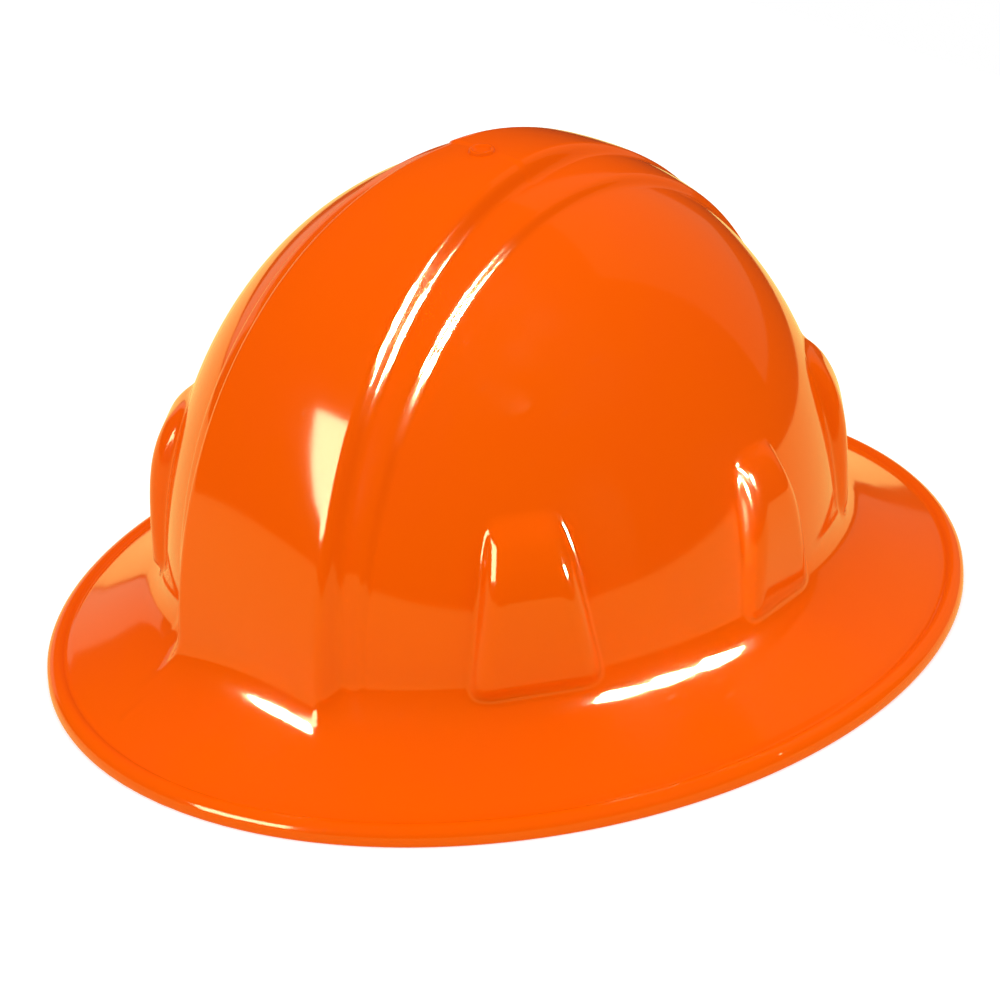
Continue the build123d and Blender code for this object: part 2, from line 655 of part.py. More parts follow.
def ratchet_parts():
    in_face = nape_radius - rack_thickness / 2 - housing_clear
    out_face = nape_radius + rack_thickness / 2 + housing_clear
    half_angle = math.degrees(housing_half_width / nape_radius)
    channel_low = rack_low - housing_clear
    channel_high = rack_high + housing_clear
    low = channel_low - housing_wall
    high = channel_high + housing_wall
    floor = nape_strip(in_face - housing_floor, in_face, low, high, -half_angle, half_angle)
    low_wall = nape_strip(in_face - housing_floor / 2, out_face, low, channel_low, -half_angle, half_angle)
    high_wall = nape_strip(in_face - housing_floor / 2, out_face, channel_high, high, -half_angle, half_angle)
    housing = floor + low_wall + high_wall
    cover = nape_strip(out_face, out_face + cover_thickness, low, high, -half_angle, half_angle)
    corners = [e for e in cover.edges() if abs(abs(e.center().Y) - abs(cover.bounding_box().max.Y)) < cover_thickness
               and e.length < cover_thickness * 1.5]
    cover = fillet(corners, housing_wall)
    back_x = nape_center_x - out_face - cover_thickness
    rearward = Plane(origin=(back_x, 0, rack_middle), z_dir=(-1, 0, 0)).location
    boss = rearward * Pos(0, 0, (cover_boss_height - cover_thickness) / 2) * Cylinder(
        cover_boss_radius, cover_boss_height + cover_thickness)
    cover = cover + boss
    bore = rearward * Cylinder(shaft_radius + shaft_running, housing_half_width)
    clear = rearward * Pos(0, 0, -cover_thickness - out_face / 2) * Cylinder(pinion_tip_radius * 1.4, out_face)
    cover = cover - bore
    gear_front = nape_center_x - in_face - shaft_running * 3
    gear_back = nape_center_x - out_face + shaft_running * 4
    gear_length = gear_front - gear_back
    place = Plane(origin=(gear_front, 0, rack_middle), x_dir=(0, 0, 1), z_dir=(-1, 0, 0)).location
    gear = Cylinder(pinion_root_radius, gear_length)
    tip = rack_pitch * 0.15
    foot = rack_pitch * (0.33 - pinion_backlash_share)
    root = pinion_root_radius * 0.9
    tooth_face = Face(Wire(Polyline([(root, -foot, 0), (pinion_tip_radius, -tip, 0),
                                     (pinion_tip_radius, tip, 0), (root, foot, 0)], close=True).edges()))
    for index in range(pinion_teeth):
        tooth = Pos(0, 0, -gear_length / 2) * extrude(tooth_face, amount=gear_length)
        gear = gear + Rot(0, 0, 360.0 * index / pinion_teeth) * tooth
    gear = place * Pos(0, 0, gear_length / 2) * gear
    knob_front = cover_boss_height + knob_clear
    shaft_length = gear_back - back_x + knob_front + knob_depth * 0.6
    shaft = place * Pos(0, 0, gear_length + shaft_length / 2) * Cylinder(shaft_radius, shaft_length)
    shank_hole = rearward * Pos(0, 0, knob_front + knob_depth - screw_length / 2) * Cylinder(
        screw_shank_radius, screw_length)
    pinion = gear + shaft - shank_hole
    knob = Cylinder(knob_radius, knob_depth)
    for index in range(knob_lobes):
        spot = direction(360.0 * (index + 0.5) / knob_lobes) * (knob_radius + knob_lobe_radius * 0.5)
        knob = knob - Pos(spot.X, spot.Y, 0) * Cylinder(knob_lobe_radius, knob_depth * 2)
    rear_edges = [e for e in knob.edges() if abs(e.center().Z - knob_depth / 2) < knob_depth / 100]
    knob = fillet(rear_edges, knob_edge_round * 0.5)
    knob = Pos(0, 0, knob_front + knob_depth / 2) * knob
    knob = rearward * knob
    hollow = rearward * Pos(0, 0, knob_front + knob_hollow_depth / 2 - knob_clear) * (
        Cylinder(knob_hollow_radius, knob_hollow_depth + knob_clear * 2)
        - Cylinder(shaft_radius * 1.8, knob_hollow_depth * 3))
    knob = knob - hollow
    knob = knob - rearward * Pos(0, 0, knob_front + knob_depth * 0.3) * Cylinder(shaft_radius, knob_depth * 0.6)
    knob = knob - shank_hole
    head_seat = rearward * Pos(0, 0, knob_front + knob_depth - screw_head_depth / 2) * Cylinder(
        screw_head_radius * 1.08, screw_head_depth)
    knob = knob - head_seat
    screw = rearward * Pos(0, 0, knob_front + knob_depth - screw_head_depth / 2) * Cylinder(
        screw_head_radius, screw_head_depth)
    screw = screw + rearward * Pos(0, 0, knob_front + knob_depth - screw_length / 2) * Cylinder(
        screw_shank_radius, screw_length)
    for turn in (0, 90):
        screw = screw - rearward * Pos(0, 0, knob_front + knob_depth) * Rot(0, 0, turn) * Box(
            screw_head_radius * 1.2, screw_head_radius * 0.25, screw_head_depth)
    pawl = rearward * Pos(0, 0, cover_boss_height + pawl_thickness / 2) * (
        Cylinder(pawl_outer_radius, pawl_thickness) - Cylinder(pawl_inner_radius, pawl_thickness * 2))
    pad_out = in_face - housing_floor - housing_pad_clear
    pad_angle = math.degrees(nape_pad_half_width / nape_radius)
    pad = nape_strip(pad_out - nape_pad_thickness, pad_out, rack_middle - nape_pad_half_height,
                     rack_middle + nape_pad_half_height, -pad_angle, pad_angle)
    pad = fillet(upright_edges(pad), nape_pad_thickness / 2.2)
    return {"ratchet_housing": housing, "ratchet_cover": cover, "ratchet_pinion": pinion,
            "ratchet_knob": knob, "knob_screw": screw, "pawl_ring": pawl, "nape_pad": pad}


for spec, side, place in sockets:
    pieces["key_" + spec + "_" + side] = place.location * key_solid(hoop_reach(place))

places = {spec + "_" + side: place for spec, side, place in sockets}
stack = strap_thickness + strap_stack_gap
pieces["strap_side"] = strap_solid(places["middle_left"], places["middle_right"], strap_crown_height)
pieces["strap_diagonal_left"] = strap_solid(places["front_left"], places["rear_right"], strap_crown_height + stack)
pieces["strap_diagonal_right"] = strap_solid(places["front_right"], places["rear_left"],
                                             strap_crown_height + stack * 2)
pieces["crown_pad"] = crown_pad_solid(strap_crown_height - strap_thickness / 2 - strap_clear)
pieces["headband"] = headband_solid([place for spec, side, place in sockets])
pieces["brow_pad"] = brow_pad_solid()
pieces["temple_pin_left"] = temple_pin_solid(1)
pieces["temple_pin_right"] = temple_pin_solid(-1)
pieces["rack_strap_left"] = rack_strap_solid(1)
pieces["rack_strap_right"] = rack_strap_solid(-1)
pieces.update(ratchet_parts())

shell = turned_oval(shell_profile())
below = Box(rim_length_half * 3, rim_length_half * 3, dome_height)
shell = shell - Pos(0, 0, -dome_height / 2) * below
raised = mid_band_solid() + crown_band_solid(0)
core = dome_fill(-shell_wall / 2, -shell_wall / 2, -shell_wall)
raised = raised - core
shell = shell + raised
for spec, side, place in sockets:
    block = place.location * socket_block(spec)
    block = block - core
    shell = shell + block
recess = crown_band_solid(shell_wall)
recess = recess - Pos(-dome_length_half, 0, 0) * Box(dome_length_half * 2 - crown_band_front * 0.4,
                                                    dome_length_half * 2, dome_height * 4)
shell = shell - recess
for spec, side, place in sockets:
    shell = shell + place.location * bridge_block()
for spec, side, place in sockets:
    shell = shell - place.location * pocket_cut()
gate = Cylinder(gate_mark_radius, gate_mark_depth * 2) - Cylinder(gate_mark_radius * 0.7, gate_mark_depth * 2)
shell = shell - Pos(0, 0, brim_top_height + crown_band_height) * gate
pieces["shell"] = shell

for name, solid in pieces.items():
    export_step(solid, "parts/" + name + ".step")
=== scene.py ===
import bpy
import bmesh
import math
import numpy as np
from mathutils import Matrix, Vector


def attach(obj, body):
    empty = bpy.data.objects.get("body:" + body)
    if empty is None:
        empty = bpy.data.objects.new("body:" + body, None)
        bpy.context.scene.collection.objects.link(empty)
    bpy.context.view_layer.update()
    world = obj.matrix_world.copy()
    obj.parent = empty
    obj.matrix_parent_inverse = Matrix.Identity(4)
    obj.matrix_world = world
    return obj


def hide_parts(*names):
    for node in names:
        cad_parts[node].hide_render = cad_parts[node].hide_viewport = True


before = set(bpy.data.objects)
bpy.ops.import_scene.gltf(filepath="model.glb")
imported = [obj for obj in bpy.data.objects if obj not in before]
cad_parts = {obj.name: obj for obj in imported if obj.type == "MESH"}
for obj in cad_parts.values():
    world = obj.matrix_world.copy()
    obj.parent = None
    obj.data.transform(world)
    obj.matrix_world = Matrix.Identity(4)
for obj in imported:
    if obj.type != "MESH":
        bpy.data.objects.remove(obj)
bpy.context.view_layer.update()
mm = 0.001

# Full brim hard hat. Shapes are worked out in millimetres in the hat's own frame
# (+X front, +Y wearer's left, +Z up, rim on z = 0) and written to the meshes in metres.

domeValues = {
    "base": 27.2, "long": 119.2, "wide": 103.3, "tall": 133.4, "power": 2.08, "wall": 2.5,
}
bandValues = {
    "front": 121.0, "rear": 114.7, "tall": 140.1, "frontPower": 2.15, "rearPower": 1.98,
    "across": 157.0, "rearStep": 1.2, "rearSoft": 3.0, "midRiseBase": 0.5, "midRiseTop": 2.1, "riseRate": 1.6,
    "draft": 0.55, "edgeSoft": 2.0, "footSoft": 1.3, "midDraft": 0.55, "midEdgeSoft": 1.4,
    "midFootSoft": 1.0,
}
# half width at the rear, widening forward, length of the bend between them, and the bend's place
crownWidth = (9.0, 0.1315, 20.0, -50.0)
midWidth = (21.5, 0.0852, 30.0, -112.6)
socketValues = {
    "angles": [48.0, 101.0, 142.0], "turns": [0.0, -1.0, 0.0], "widths": [42.0, 36.0, 36.0],
    "heights": [58.0, 56.0, 58.0], "topWidths": [20.0, 17.0, 17.0], "stands": [4.0, 3.2, 2.8],
    "crest": 20.0, "footTuck": 1.1, "topDrop": 11.0, "sideDraft": 0.30, "topSlope": 0.9,
    "edgeSoft": 5.4, "footSoft": 1.3, "cornerRise": 9.0, "cornerIn": 1.8,
    "footRise": 2.6, "footEdgeSoft": 3.0,
}
brimValues = {
    "halfLong": 162.6, "halfWide": 142.0, "lipIn": 6.0, "lipHeight": 5.4, "sag": 1.0,
    "rootSoft": 8.0, "wall": 2.9, "thickening": 0.3,
}
# the recess for each key's tab inside the shell: a bridge of wall above an open mouth
pocketValues = {
    "bridgeIn": 3.9, "bridgeLean": 0.1, "bridgeHalf": 14.0, "bridgeMiddle": 29.5, "bridgeHalfHigh": 11.5,
    "mouthOut": 1.1, "mouthIn": 14.0, "mouthHalf": 10.6, "mouthMiddle": 10.0, "mouthHalfHigh": 8.0,
    "soft": 0.8,
}
domeCenter = np.array([0.0, 0.0, domeValues["base"]])
upWay = np.array([0.0, 0.0, 1.0])


def unit(ways):
    # a vector, or each row of an array, divided by its length
    return ways / np.sqrt((ways ** 2).sum(-1, keepdims=True))


def distances(points):
    # running length along a row of points
    return np.concatenate([[0.0], np.cumsum(np.sqrt((np.diff(points, axis=0) ** 2).sum(1)))])


def softMin(a, b, k):
    # the lower of two heights, with a rounded join about k wide
    h = np.maximum(k - np.abs(a - b), 0.0) / k
    return np.minimum(a, b) - h * h * k * 0.25


def softMax(a, b, k):
    # the higher of two heights, rounded in the same way
    return -softMin(-a, -b, k)


def easeShare(x):
    # three x squared less two x cubed, held between none and one
    x = np.clip(x, 0.0, 1.0)
    return x * x * (3.0 - 2.0 * x)


def bandHalfWidth(x, band):
    # narrow at the back, widening in a straight line to the front panel, rounded between
    rear, widening, bend, place = band
    return rear + widening * bend * np.logaddexp(0.0, (x - place) / bend)


def domeReach(d, grow=0.0):
    # superellipsoid: (x/a)^2 + (y/b)^2 raised to p/2, plus (z/c)^p, equals one
    v = domeValues
    flat = (d[:, 0] / (v["long"] + grow)) ** 2 + (d[:, 1] / (v["wide"] + grow)) ** 2
    up = np.maximum(d[:, 2], 0.0) / (v["tall"] + grow)
    return (flat ** (v["power"] / 2) + up ** v["power"]) ** (-1.0 / v["power"])


def crownReach(d, grow=0.0):
    # the crown band: an arc in the side view, flat across at its foot and crowned at its top
    v = bandValues
    front = d[:, 0] >= 0
    long = np.where(front, v["front"], v["rear"]) + grow
    power = np.where(front, v["frontPower"], v["rearPower"])
    up = np.maximum(d[:, 2], 1e-6)
    own = ((np.abs(d[:, 0]) / long) ** power + up * (d[:, 1] / v["across"]) ** 2
           + (up / (v["tall"] + grow)) ** power) ** (-1.0 / power)
    step = domeReach(d, grow) + midRise(d) + v["rearStep"]
    return np.where(front, own, softMax(own, step, v["rearSoft"]))


def midRise(d):
    # how far the lower band stands off the dome, eased from the foot upward
    v = bandValues
    return v["midRiseBase"] + (v["midRiseTop"] - v["midRiseBase"]) * easeShare(d[:, 2] * v["riseRate"])


def socketFrames(turned):
    # where each socket stands on the dome's foot, which way it faces and its sizes
    v, dome = socketValues, domeValues
    rows = []
    rowValues = list(zip(v["angles"], v["turns"], v["widths"], v["topWidths"], v["heights"], v["stands"]))
    for hand in (1.0, -1.0):
        for angle, turn, *sizes in rowValues:
            a = math.radians(angle + turn * turned) * hand
            reach = 1.0 / math.hypot(math.cos(a) / dome["long"], math.sin(a) / dome["wide"])
            x, y = reach * math.cos(a), reach * math.sin(a)
            nx, ny = x / dome["long"] ** 2, y / dome["wide"] ** 2
            size = math.hypot(nx, ny)
            rows.append((x, y, nx / size, ny / size, *sizes))
    return rows


socketPlaces = socketFrames(1.0)
keyPlaces = socketFrames(0.0)


def socketField(p, place):
    # a face that bulges from its foot to a crest and falls in to the dome by its top, two sides that
    # lean together with their lower corners rounded, and a sloping top; the furthest out wins
    v = socketValues
    x, y, nx, ny, width, topWidth, height, stand = place
    out = (p[:, 0] - x) * nx + (p[:, 1] - y) * ny
    side = -(p[:, 0] - x) * ny + (p[:, 1] - y) * nx
    up = p[:, 2] - domeValues["base"]
    above = np.maximum(up - v["crest"], 0.0) / (height - v["crest"])
    below = np.clip((v["crest"] - up) / v["crest"], 0.0, 1.3)
    face = out - stand + v["topDrop"] * above ** 3 + v["footTuck"] * below ** 2
    corner = np.clip((v["cornerRise"] - up) / v["cornerRise"], 0.0, 1.2)
    half = (width - (width - topWidth) * up / height) / 2 - v["cornerIn"] * corner ** 3
    sides = (np.abs(side) - half + v["sideDraft"] * np.clip(face, -16.0, 0.0)) * 0.95
    top = (up - height + v["topSlope"] * np.clip(face, -12.0, 0.0)) * 0.75
    block = softMax(softMax(face, sides, v["edgeSoft"]), top, v["edgeSoft"])
    block = softMax(block, v["footRise"] - up, v["footEdgeSoft"])
    return np.maximum(block, -out - 30.0)


def brimHeight(ratio):
    # a falling line with a slight sag, from the dome's foot to the lip
    v = brimValues
    span = v["halfLong"] - v["lipIn"] - domeValues["long"]
    t = np.maximum(ratio * v["halfLong"] - domeValues["long"], 0.0) / span
    drop = domeValues["base"] - v["lipHeight"]
    return domeValues["base"] - (drop + 4 * v["sag"]) * t + 4 * v["sag"] * t * t


def outerField(p):
    # below zero inside the moulding: dome, bands, sockets and brim joined with rounded creases
    d = p - domeCenter
    d[:, 2] = np.maximum(d[:, 2], 0.0)
    size = np.maximum(np.sqrt((d ** 2).sum(1)), 1e-6)
    d = d / size[:, None]
    b = bandValues
    dome = size - domeReach(d)
    side = np.abs(p[:, 1])
    midTop = size - domeReach(d) - midRise(d)
    midSide = (side - bandHalfWidth(p[:, 0], midWidth) + b["midDraft"] * np.clip(midTop, -6.0, 0.0)) * 0.85
    mid = softMax(midTop, midSide, b["midEdgeSoft"])
    field = softMin(dome, mid, b["midFootSoft"])
    crownTop = size - crownReach(d)
    crownSide = (side - bandHalfWidth(p[:, 0], crownWidth) + b["draft"] * np.clip(crownTop, -9.0, 0.0)) * 0.87
    crown = softMax(crownTop, crownSide, b["edgeSoft"])
    field = softMin(field, crown, b["footSoft"])
    ratio = np.hypot(p[:, 0] / brimValues["halfLong"], p[:, 1] / brimValues["halfWide"])
    brim = (p[:, 2] - brimHeight(ratio)) * 0.84
    field = softMin(field, brim, brimValues["rootSoft"])
    for place in socketPlaces:
        field = softMin(field, socketField(p, place), socketValues["footSoft"])
    return field


def innerField(p):
    # above zero in the wall: the dome a wall thinner, the crown band's recess and the key mouths
    v = pocketValues
    d = p - domeCenter
    d[:, 2] = np.maximum(d[:, 2], 0.0)
    size = np.maximum(np.sqrt((d ** 2).sum(1)), 1e-6)
    d = d / size[:, None]
    wall = domeValues["wall"]
    field = size - domeReach(d, -wall)
    crownTop = size - crownReach(d) + wall
    crownSide = np.abs(p[:, 1]) - bandHalfWidth(p[:, 0], crownWidth) + wall * 0.8
    field = softMin(field, softMax(crownTop, crownSide, 2.0), 1.5)
    for x, y, nx, ny, *sizes in keyPlaces:
        out = (p[:, 0] - x) * nx + (p[:, 1] - y) * ny
        side = np.abs(-(p[:, 0] - x) * ny + (p[:, 1] - y) * nx)
        up = p[:, 2] - domeValues["base"]
        bridge = np.maximum(-(out + v["bridgeIn"] + v["bridgeLean"] * up), side - v["bridgeHalf"])
        bridge = np.maximum(bridge, np.abs(up - v["bridgeMiddle"]) - v["bridgeHalfHigh"])
        field = softMax(field, -bridge, v["soft"])
        mouth = np.maximum(out - v["mouthOut"], side - v["mouthHalf"])
        mouth = np.maximum(mouth, np.abs(up - v["mouthMiddle"]) - v["mouthHalfHigh"])
        field = softMin(field, np.maximum(mouth, -out - v["mouthIn"]), v["soft"])
    return field


def rayHits(field, start, way, near, far):
    # halves, thirty times, the stretch between a point on one side of the surface and one on the other
    low = np.full(len(start), float(near))
    high = np.full(len(start), float(far))
    inside = field(start + way * low[:, None]) < 0
    for step in range(30):
        middle = (low + high) / 2
        same = (field(start + way * middle[:, None]) < 0) == inside
        low = np.where(same, middle, low)
        high = np.where(same, high, middle)
    return start + way * ((low + high) / 2)[:, None]


def centreHits(field, ways, near=80.0, far=160.0):
    # where rays from the dome's centre meet the surface
    return rayHits(field, np.tile(domeCenter, (len(ways), 1)), ways, near, far)


def axisHits(field, rise, ways, far):
    # where level rays from the upright axis, at a rise above the dome's foot, meet the surface
    return rayHits(field, np.tile(domeCenter + upWay * rise, (len(ways), 1)), ways, 40.0, far)


def levelWays(turn):
    # the level direction at each angle: cosine forward, sine to the wearer's left, 0 up
    return np.stack([np.cos(turn), np.sin(turn), np.zeros_like(turn)], 1)


def gridQuads(ids):
    # one four-sided face between each two rows and columns
    return np.stack([ids[:-1, :-1], ids[1:, :-1], ids[1:, 1:], ids[:-1, 1:]], -1).reshape(-1, 4)


def gridIds(rows, columns, first=0):
    # the vertex numbers of a grid, row by row from the first
    return np.arange(rows * columns).reshape(rows, columns) + first


def closedRound(ids):
    # the first column again after the last
    return np.concatenate([ids, ids[:, :1]], 1)


def meshObject(name, points, faces, merge=0.0):
    # points in mm and their faces as a smooth mesh in metres, doubles merged, faces turned outward
    mesh = bpy.data.meshes.new(name)
    mesh.from_pydata((points * mm).tolist(), [], faces if isinstance(faces, list) else faces.tolist())
    work = bmesh.new()
    work.from_mesh(mesh)
    if merge:
        bmesh.ops.remove_doubles(work, verts=work.verts, dist=merge)
        bmesh.ops.dissolve_degenerate(work, edges=work.edges, dist=merge)
    bmesh.ops.recalc_face_normals(work, faces=work.faces)
    work.to_mesh(mesh)
    work.free()
    mesh.polygons.foreach_set("use_smooth", np.ones(len(mesh.polygons), dtype=bool))
    piece = bpy.data.objects.new(name, mesh)
    bpy.context.collection.objects.link(piece)
    return piece


gateValues = {
    "place": 1.6, "rimRadius": 3.5, "rimWidth": 0.8, "rimHeight": 0.85, "dish": 0.25, "lowered": 0.02,
    "sunk": 0.9,
    "radii": [0.0, 0.5, 1.0, 1.6, 2.1, 2.5, 2.8, 3.1, 3.4, 3.7, 4.0, 4.3, 4.6, 4.9], "around": 48,
}


def gateMark():
    # a moulded ring round a shallow dish, turned about the upright at the crown's top and sunk in it
    v = gateValues
    r = np.array(v["radii"])
    h = v["dish"] * (r / v["rimRadius"]) ** 2 - v["lowered"]
    h = np.where(r < v["rimRadius"] + v["rimWidth"], h, -v["sunk"])
    h = h + v["rimHeight"] * np.exp(-((r - v["rimRadius"]) / v["rimWidth"]) ** 2)
    turn = np.linspace(0.0, 2 * np.pi, v["around"] + 1)
    x = v["place"] + r[:, None] * np.cos(turn)
    y = r[:, None] * np.sin(turn)
    above = np.stack([x.ravel(), y.ravel(), np.full(x.size, 150.0)], 1)
    level = rayHits(outerField, above, np.tile(upWay, (x.size, 1)), 0.0, 40.0)[:, 2].reshape(x.shape)
    top = np.stack([x, y, level + h[:, None]], -1)
    under = top[-1:].copy()
    under[..., :2] = (v["place"], 0.0)
    grid = np.concatenate([top, under])
    piece = meshObject("gateMark", grid.reshape(-1, 3), gridQuads(gridIds(*grid.shape[:2])), merge=1e-6)
    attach(piece, "hat")
    return piece


shellGrid = {
    "columns": 236, "lowRows": 40, "highRows": 30, "highCrowding": 0.9, "loopRise": 9.0, "zoneTop": 62.0,
    "socketTop": 52.5, "topSpan": 5.0, "topGather": 1.6, "sideGather": 3.2, "sideFrom": 2.8, "sideTo": 13.6,
    "sideEase": 1.5, "angleShare": 0.28, "frontFade": 11.0, "rearFade": 13.0, "firstReach": 125.0,
    "repeats": 5, "focusOut": 9.0, "fanRows": 11, "fanEnd": 298.0, "brimRows": 8, "lipMargin": 1.6,
    "underRows": 6, "innerRows": 9,
}
# lines of the strip over the crown: shares of the crown band's flat, then steps in mm past its edge,
# shares of the gap to the lower band, and steps past the lower band's edge
topShares = np.array([0.0, 0.25, 0.49, 0.70, 0.87])
wallSteps = np.array([-2.6, -1.7, -1.0, -0.4, 0.2, 0.8, 1.4, 2.0, 2.6, 3.2, 3.8, 4.5, 5.4])
gapShares = np.array([0.33, 0.67])
midSteps = np.array([-1.8, -1.1, -0.5, 0.0, 0.5, 1.0, 1.6, 2.3, 3.2, 4.6])
# sections as pairs, inward from the rim and upward: the raised lip's heights count from the brim's outer
# end, and the rim's from level
lipSection = [
    (6.9, -0.55), (6.2, -0.85), (5.5, -0.55), (4.6, -0.15), (3.4, -0.12), (2.3, -0.5), (1.3, -1.2),
    (0.5, -2.1), (0.1, -3.0),
]
rimSection = [(0.0, 2.0), (0.0, 0.8), (0.3, 0.2), (0.9, 0.0), (4.2, 0.0), (4.9, 0.25)]
lipUnderside = (6.2, -3.2)
innerHeights = [1.0, 2.2, 4.0, 8.0, 12.0, 16.5, 17.7, 18.6, 24.0, 32.0, 40.4, 41.6]


def spreadByDensity(low, high, count, density):
    # places lines so that each holds the same share of the density's area
    fine = np.linspace(low, high, 4001)
    area = np.concatenate([[0.0], np.cumsum(density((fine[1:] + fine[:-1]) / 2))])
    return np.interp(np.linspace(0.0, area[-1], count), area, fine)


def lowerHeights():
    # heights of the lower rows, closer together at the sockets' tops
    g = shellGrid
    return spreadByDensity(g["loopRise"], g["zoneTop"], g["lowRows"] + 1,
                           lambda h: 1.0 + g["topGather"] * np.exp(-((h - g["socketTop"]) / g["topSpan"]) ** 2))


def columnAngles(first, last):
    # angles of the columns round one side, closer together along the sockets' sides
    g = shellGrid

    def density(a):
        # how densely the columns stand: 1, plus more near each socket
        total = np.ones_like(a)
        for middle in socketValues["angles"]:
            off = np.abs(a - middle)
            total += (g["sideGather"] * easeShare((off - g["sideFrom"]) / g["sideEase"])
                      * easeShare((g["sideTo"] - off) / g["sideEase"]))
        return total

    return spreadByDensity(first, last, g["columns"] + 1, density)


def lateralPlaces(x):
    # how far sideways each line of the strip lies, at a place along the hat
    crown, mid = bandHalfWidth(x, crownWidth)[:, None], bandHalfWidth(x, midWidth)[:, None]
    wallEnd = crown + wallSteps[-1]
    between = wallEnd + (mid + midSteps[0] - wallEnd) * gapShares
    return np.concatenate([(crown + wallSteps[0]) * topShares, crown + wallSteps, between, mid + midSteps], 1)


def stripPoints(turns):
    # planes fanned about the crosswise axis; each line's sideways angle is settled by repeating
    lines = len(topShares) + len(wallSteps) + len(gapShares) + len(midSteps)
    wallLine = len(topShares) + len(wallSteps) - 1
    ways = np.zeros((len(turns), lines, 3))
    reach = np.full((len(turns), lines), shellGrid["firstReach"])
    x = np.cos(turns) * shellGrid["firstReach"]
    for step in range(shellGrid["repeats"]):
        tilt = np.arcsin(np.clip(lateralPlaces(x) / reach, 0.0, 0.9))
        ways[..., 0] = np.cos(tilt) * np.cos(turns)[:, None]
        ways[..., 1] = np.sin(tilt)
        ways[..., 2] = np.cos(tilt) * np.sin(turns)[:, None]
        hits = centreHits(outerField, ways.reshape(-1, 3)).reshape(ways.shape)
        reach = np.sqrt(((hits - domeCenter) ** 2).sum(-1))
        x = hits[:, wallLine, 0]
    return hits


def centreStrip(heights):
    # the strip over the crown, whose outer line stands at each lower row's height in front and behind, and
    # the angles of the columns between
    g = shellGrid
    probe = np.radians(np.linspace(1.0, 60.0, 120))
    frontRise = stripPoints(probe)[:, -1, 2] - domeCenter[2]
    rearRise = stripPoints(np.pi - probe)[:, -1, 2] - domeCenter[2]
    frontTurns = np.interp(heights, frontRise, probe)
    rearTurns = np.pi - np.interp(heights, rearRise, probe)
    ends = stripPoints(np.array([frontTurns[0], rearTurns[0]]))[:, -1]
    first, last = np.degrees(np.arctan2(ends[:, 1], ends[:, 0]))
    angles = columnAngles(first, last)
    even = np.linspace(0.0, 1.0, g["columns"] + 1)
    share = (1 - g["angleShare"]) * even + g["angleShare"] * (angles - first) / (last - first)
    topTurns = frontTurns[-1] + (rearTurns[-1] - frontTurns[-1]) * share
    return stripPoints(np.concatenate([frontTurns[:-1], topTurns, rearTurns[:-1][::-1]])), angles


def lowerPatch(strip, angles, heights):
    # level rays from the upright axis, one row for each height; columns near both ends bend to the strip
    g = shellGrid
    turns = np.radians(angles)
    front, rear = strip[:len(heights), -1], strip[::-1][:len(heights), -1]
    fade = np.clip(1.0 - (turns - turns[0]) / math.radians(g["frontFade"]), 0.0, 1.0)
    rearFade = np.clip(1.0 - (turns[-1] - turns) / math.radians(g["rearFade"]), 0.0, 1.0)
    patch = []
    for height, start, end in zip(heights, front, rear):
        bent = (turns + fade * (math.atan2(start[1], start[0]) - turns[0])
                + rearFade * (math.atan2(end[1], end[0]) - turns[-1]))
        patch.append(axisHits(outerField, height, levelWays(bent), 135.0))
    patch = np.array(patch)
    patch[:, 0], patch[:, -1] = front, rear
    return patch


def upperPatch(lastRow, highPoints):
    # great circle arcs from the lower patch's last row up to the strip's outer line
    lowWays, highWays = unit(lastRow - domeCenter), unit(highPoints - domeCenter)
    arc = np.maximum(np.arccos(np.clip((lowWays * highWays).sum(1), -1.0, 1.0)), 1e-4)[:, None]
    rows = shellGrid["highRows"]
    upper = []
    for row in range(rows + 1):
        t = (row / rows) ** shellGrid["highCrowding"]
        ways = lowWays * np.sin((1 - t) * arc) / np.sin(arc) + highWays * np.sin(t * arc) / np.sin(arc)
        upper.append(centreHits(outerField, unit(ways)))
    upper = np.array(upper)
    upper[0], upper[-1] = lastRow, highPoints
    upper[:, 0], upper[:, -1] = lastRow[0], lastRow[-1]
    return upper


def footAndBrim(loop, rim, rimWay):
    # rounded foot: rays fanned from a line in the air, from level inward to steeply down; then the brim:
    # plan points in a straight line to the lip, with heights from the same surface
    g = shellGrid
    out = unit((rim - loop) * [1.0, 1.0, 0.0])
    focus = loop + out * g["focusOut"] - upWay
    first = math.degrees(math.atan2(1.0, -g["focusOut"]))
    rows = [loop]
    for row in range(1, g["fanRows"] + 1):
        a = math.radians(first + (g["fanEnd"] - first) * row / g["fanRows"])
        rows.append(rayHits(outerField, focus, out * math.cos(a) + upWay * math.sin(a), 0.0, 30.0))
    foot, lipStart = rows[-1], rim - rimWay * (brimValues["lipIn"] + g["lipMargin"])
    for row in range(1, g["brimRows"] + 1):
        t = row / g["brimRows"]
        spot = foot * (1 - t) + lipStart * t
        spot[:, 2] = 60.0
        rows.append(rayHits(outerField, spot, np.tile(-upWay, (len(spot), 1)), 0.0, 70.0))
    return rows


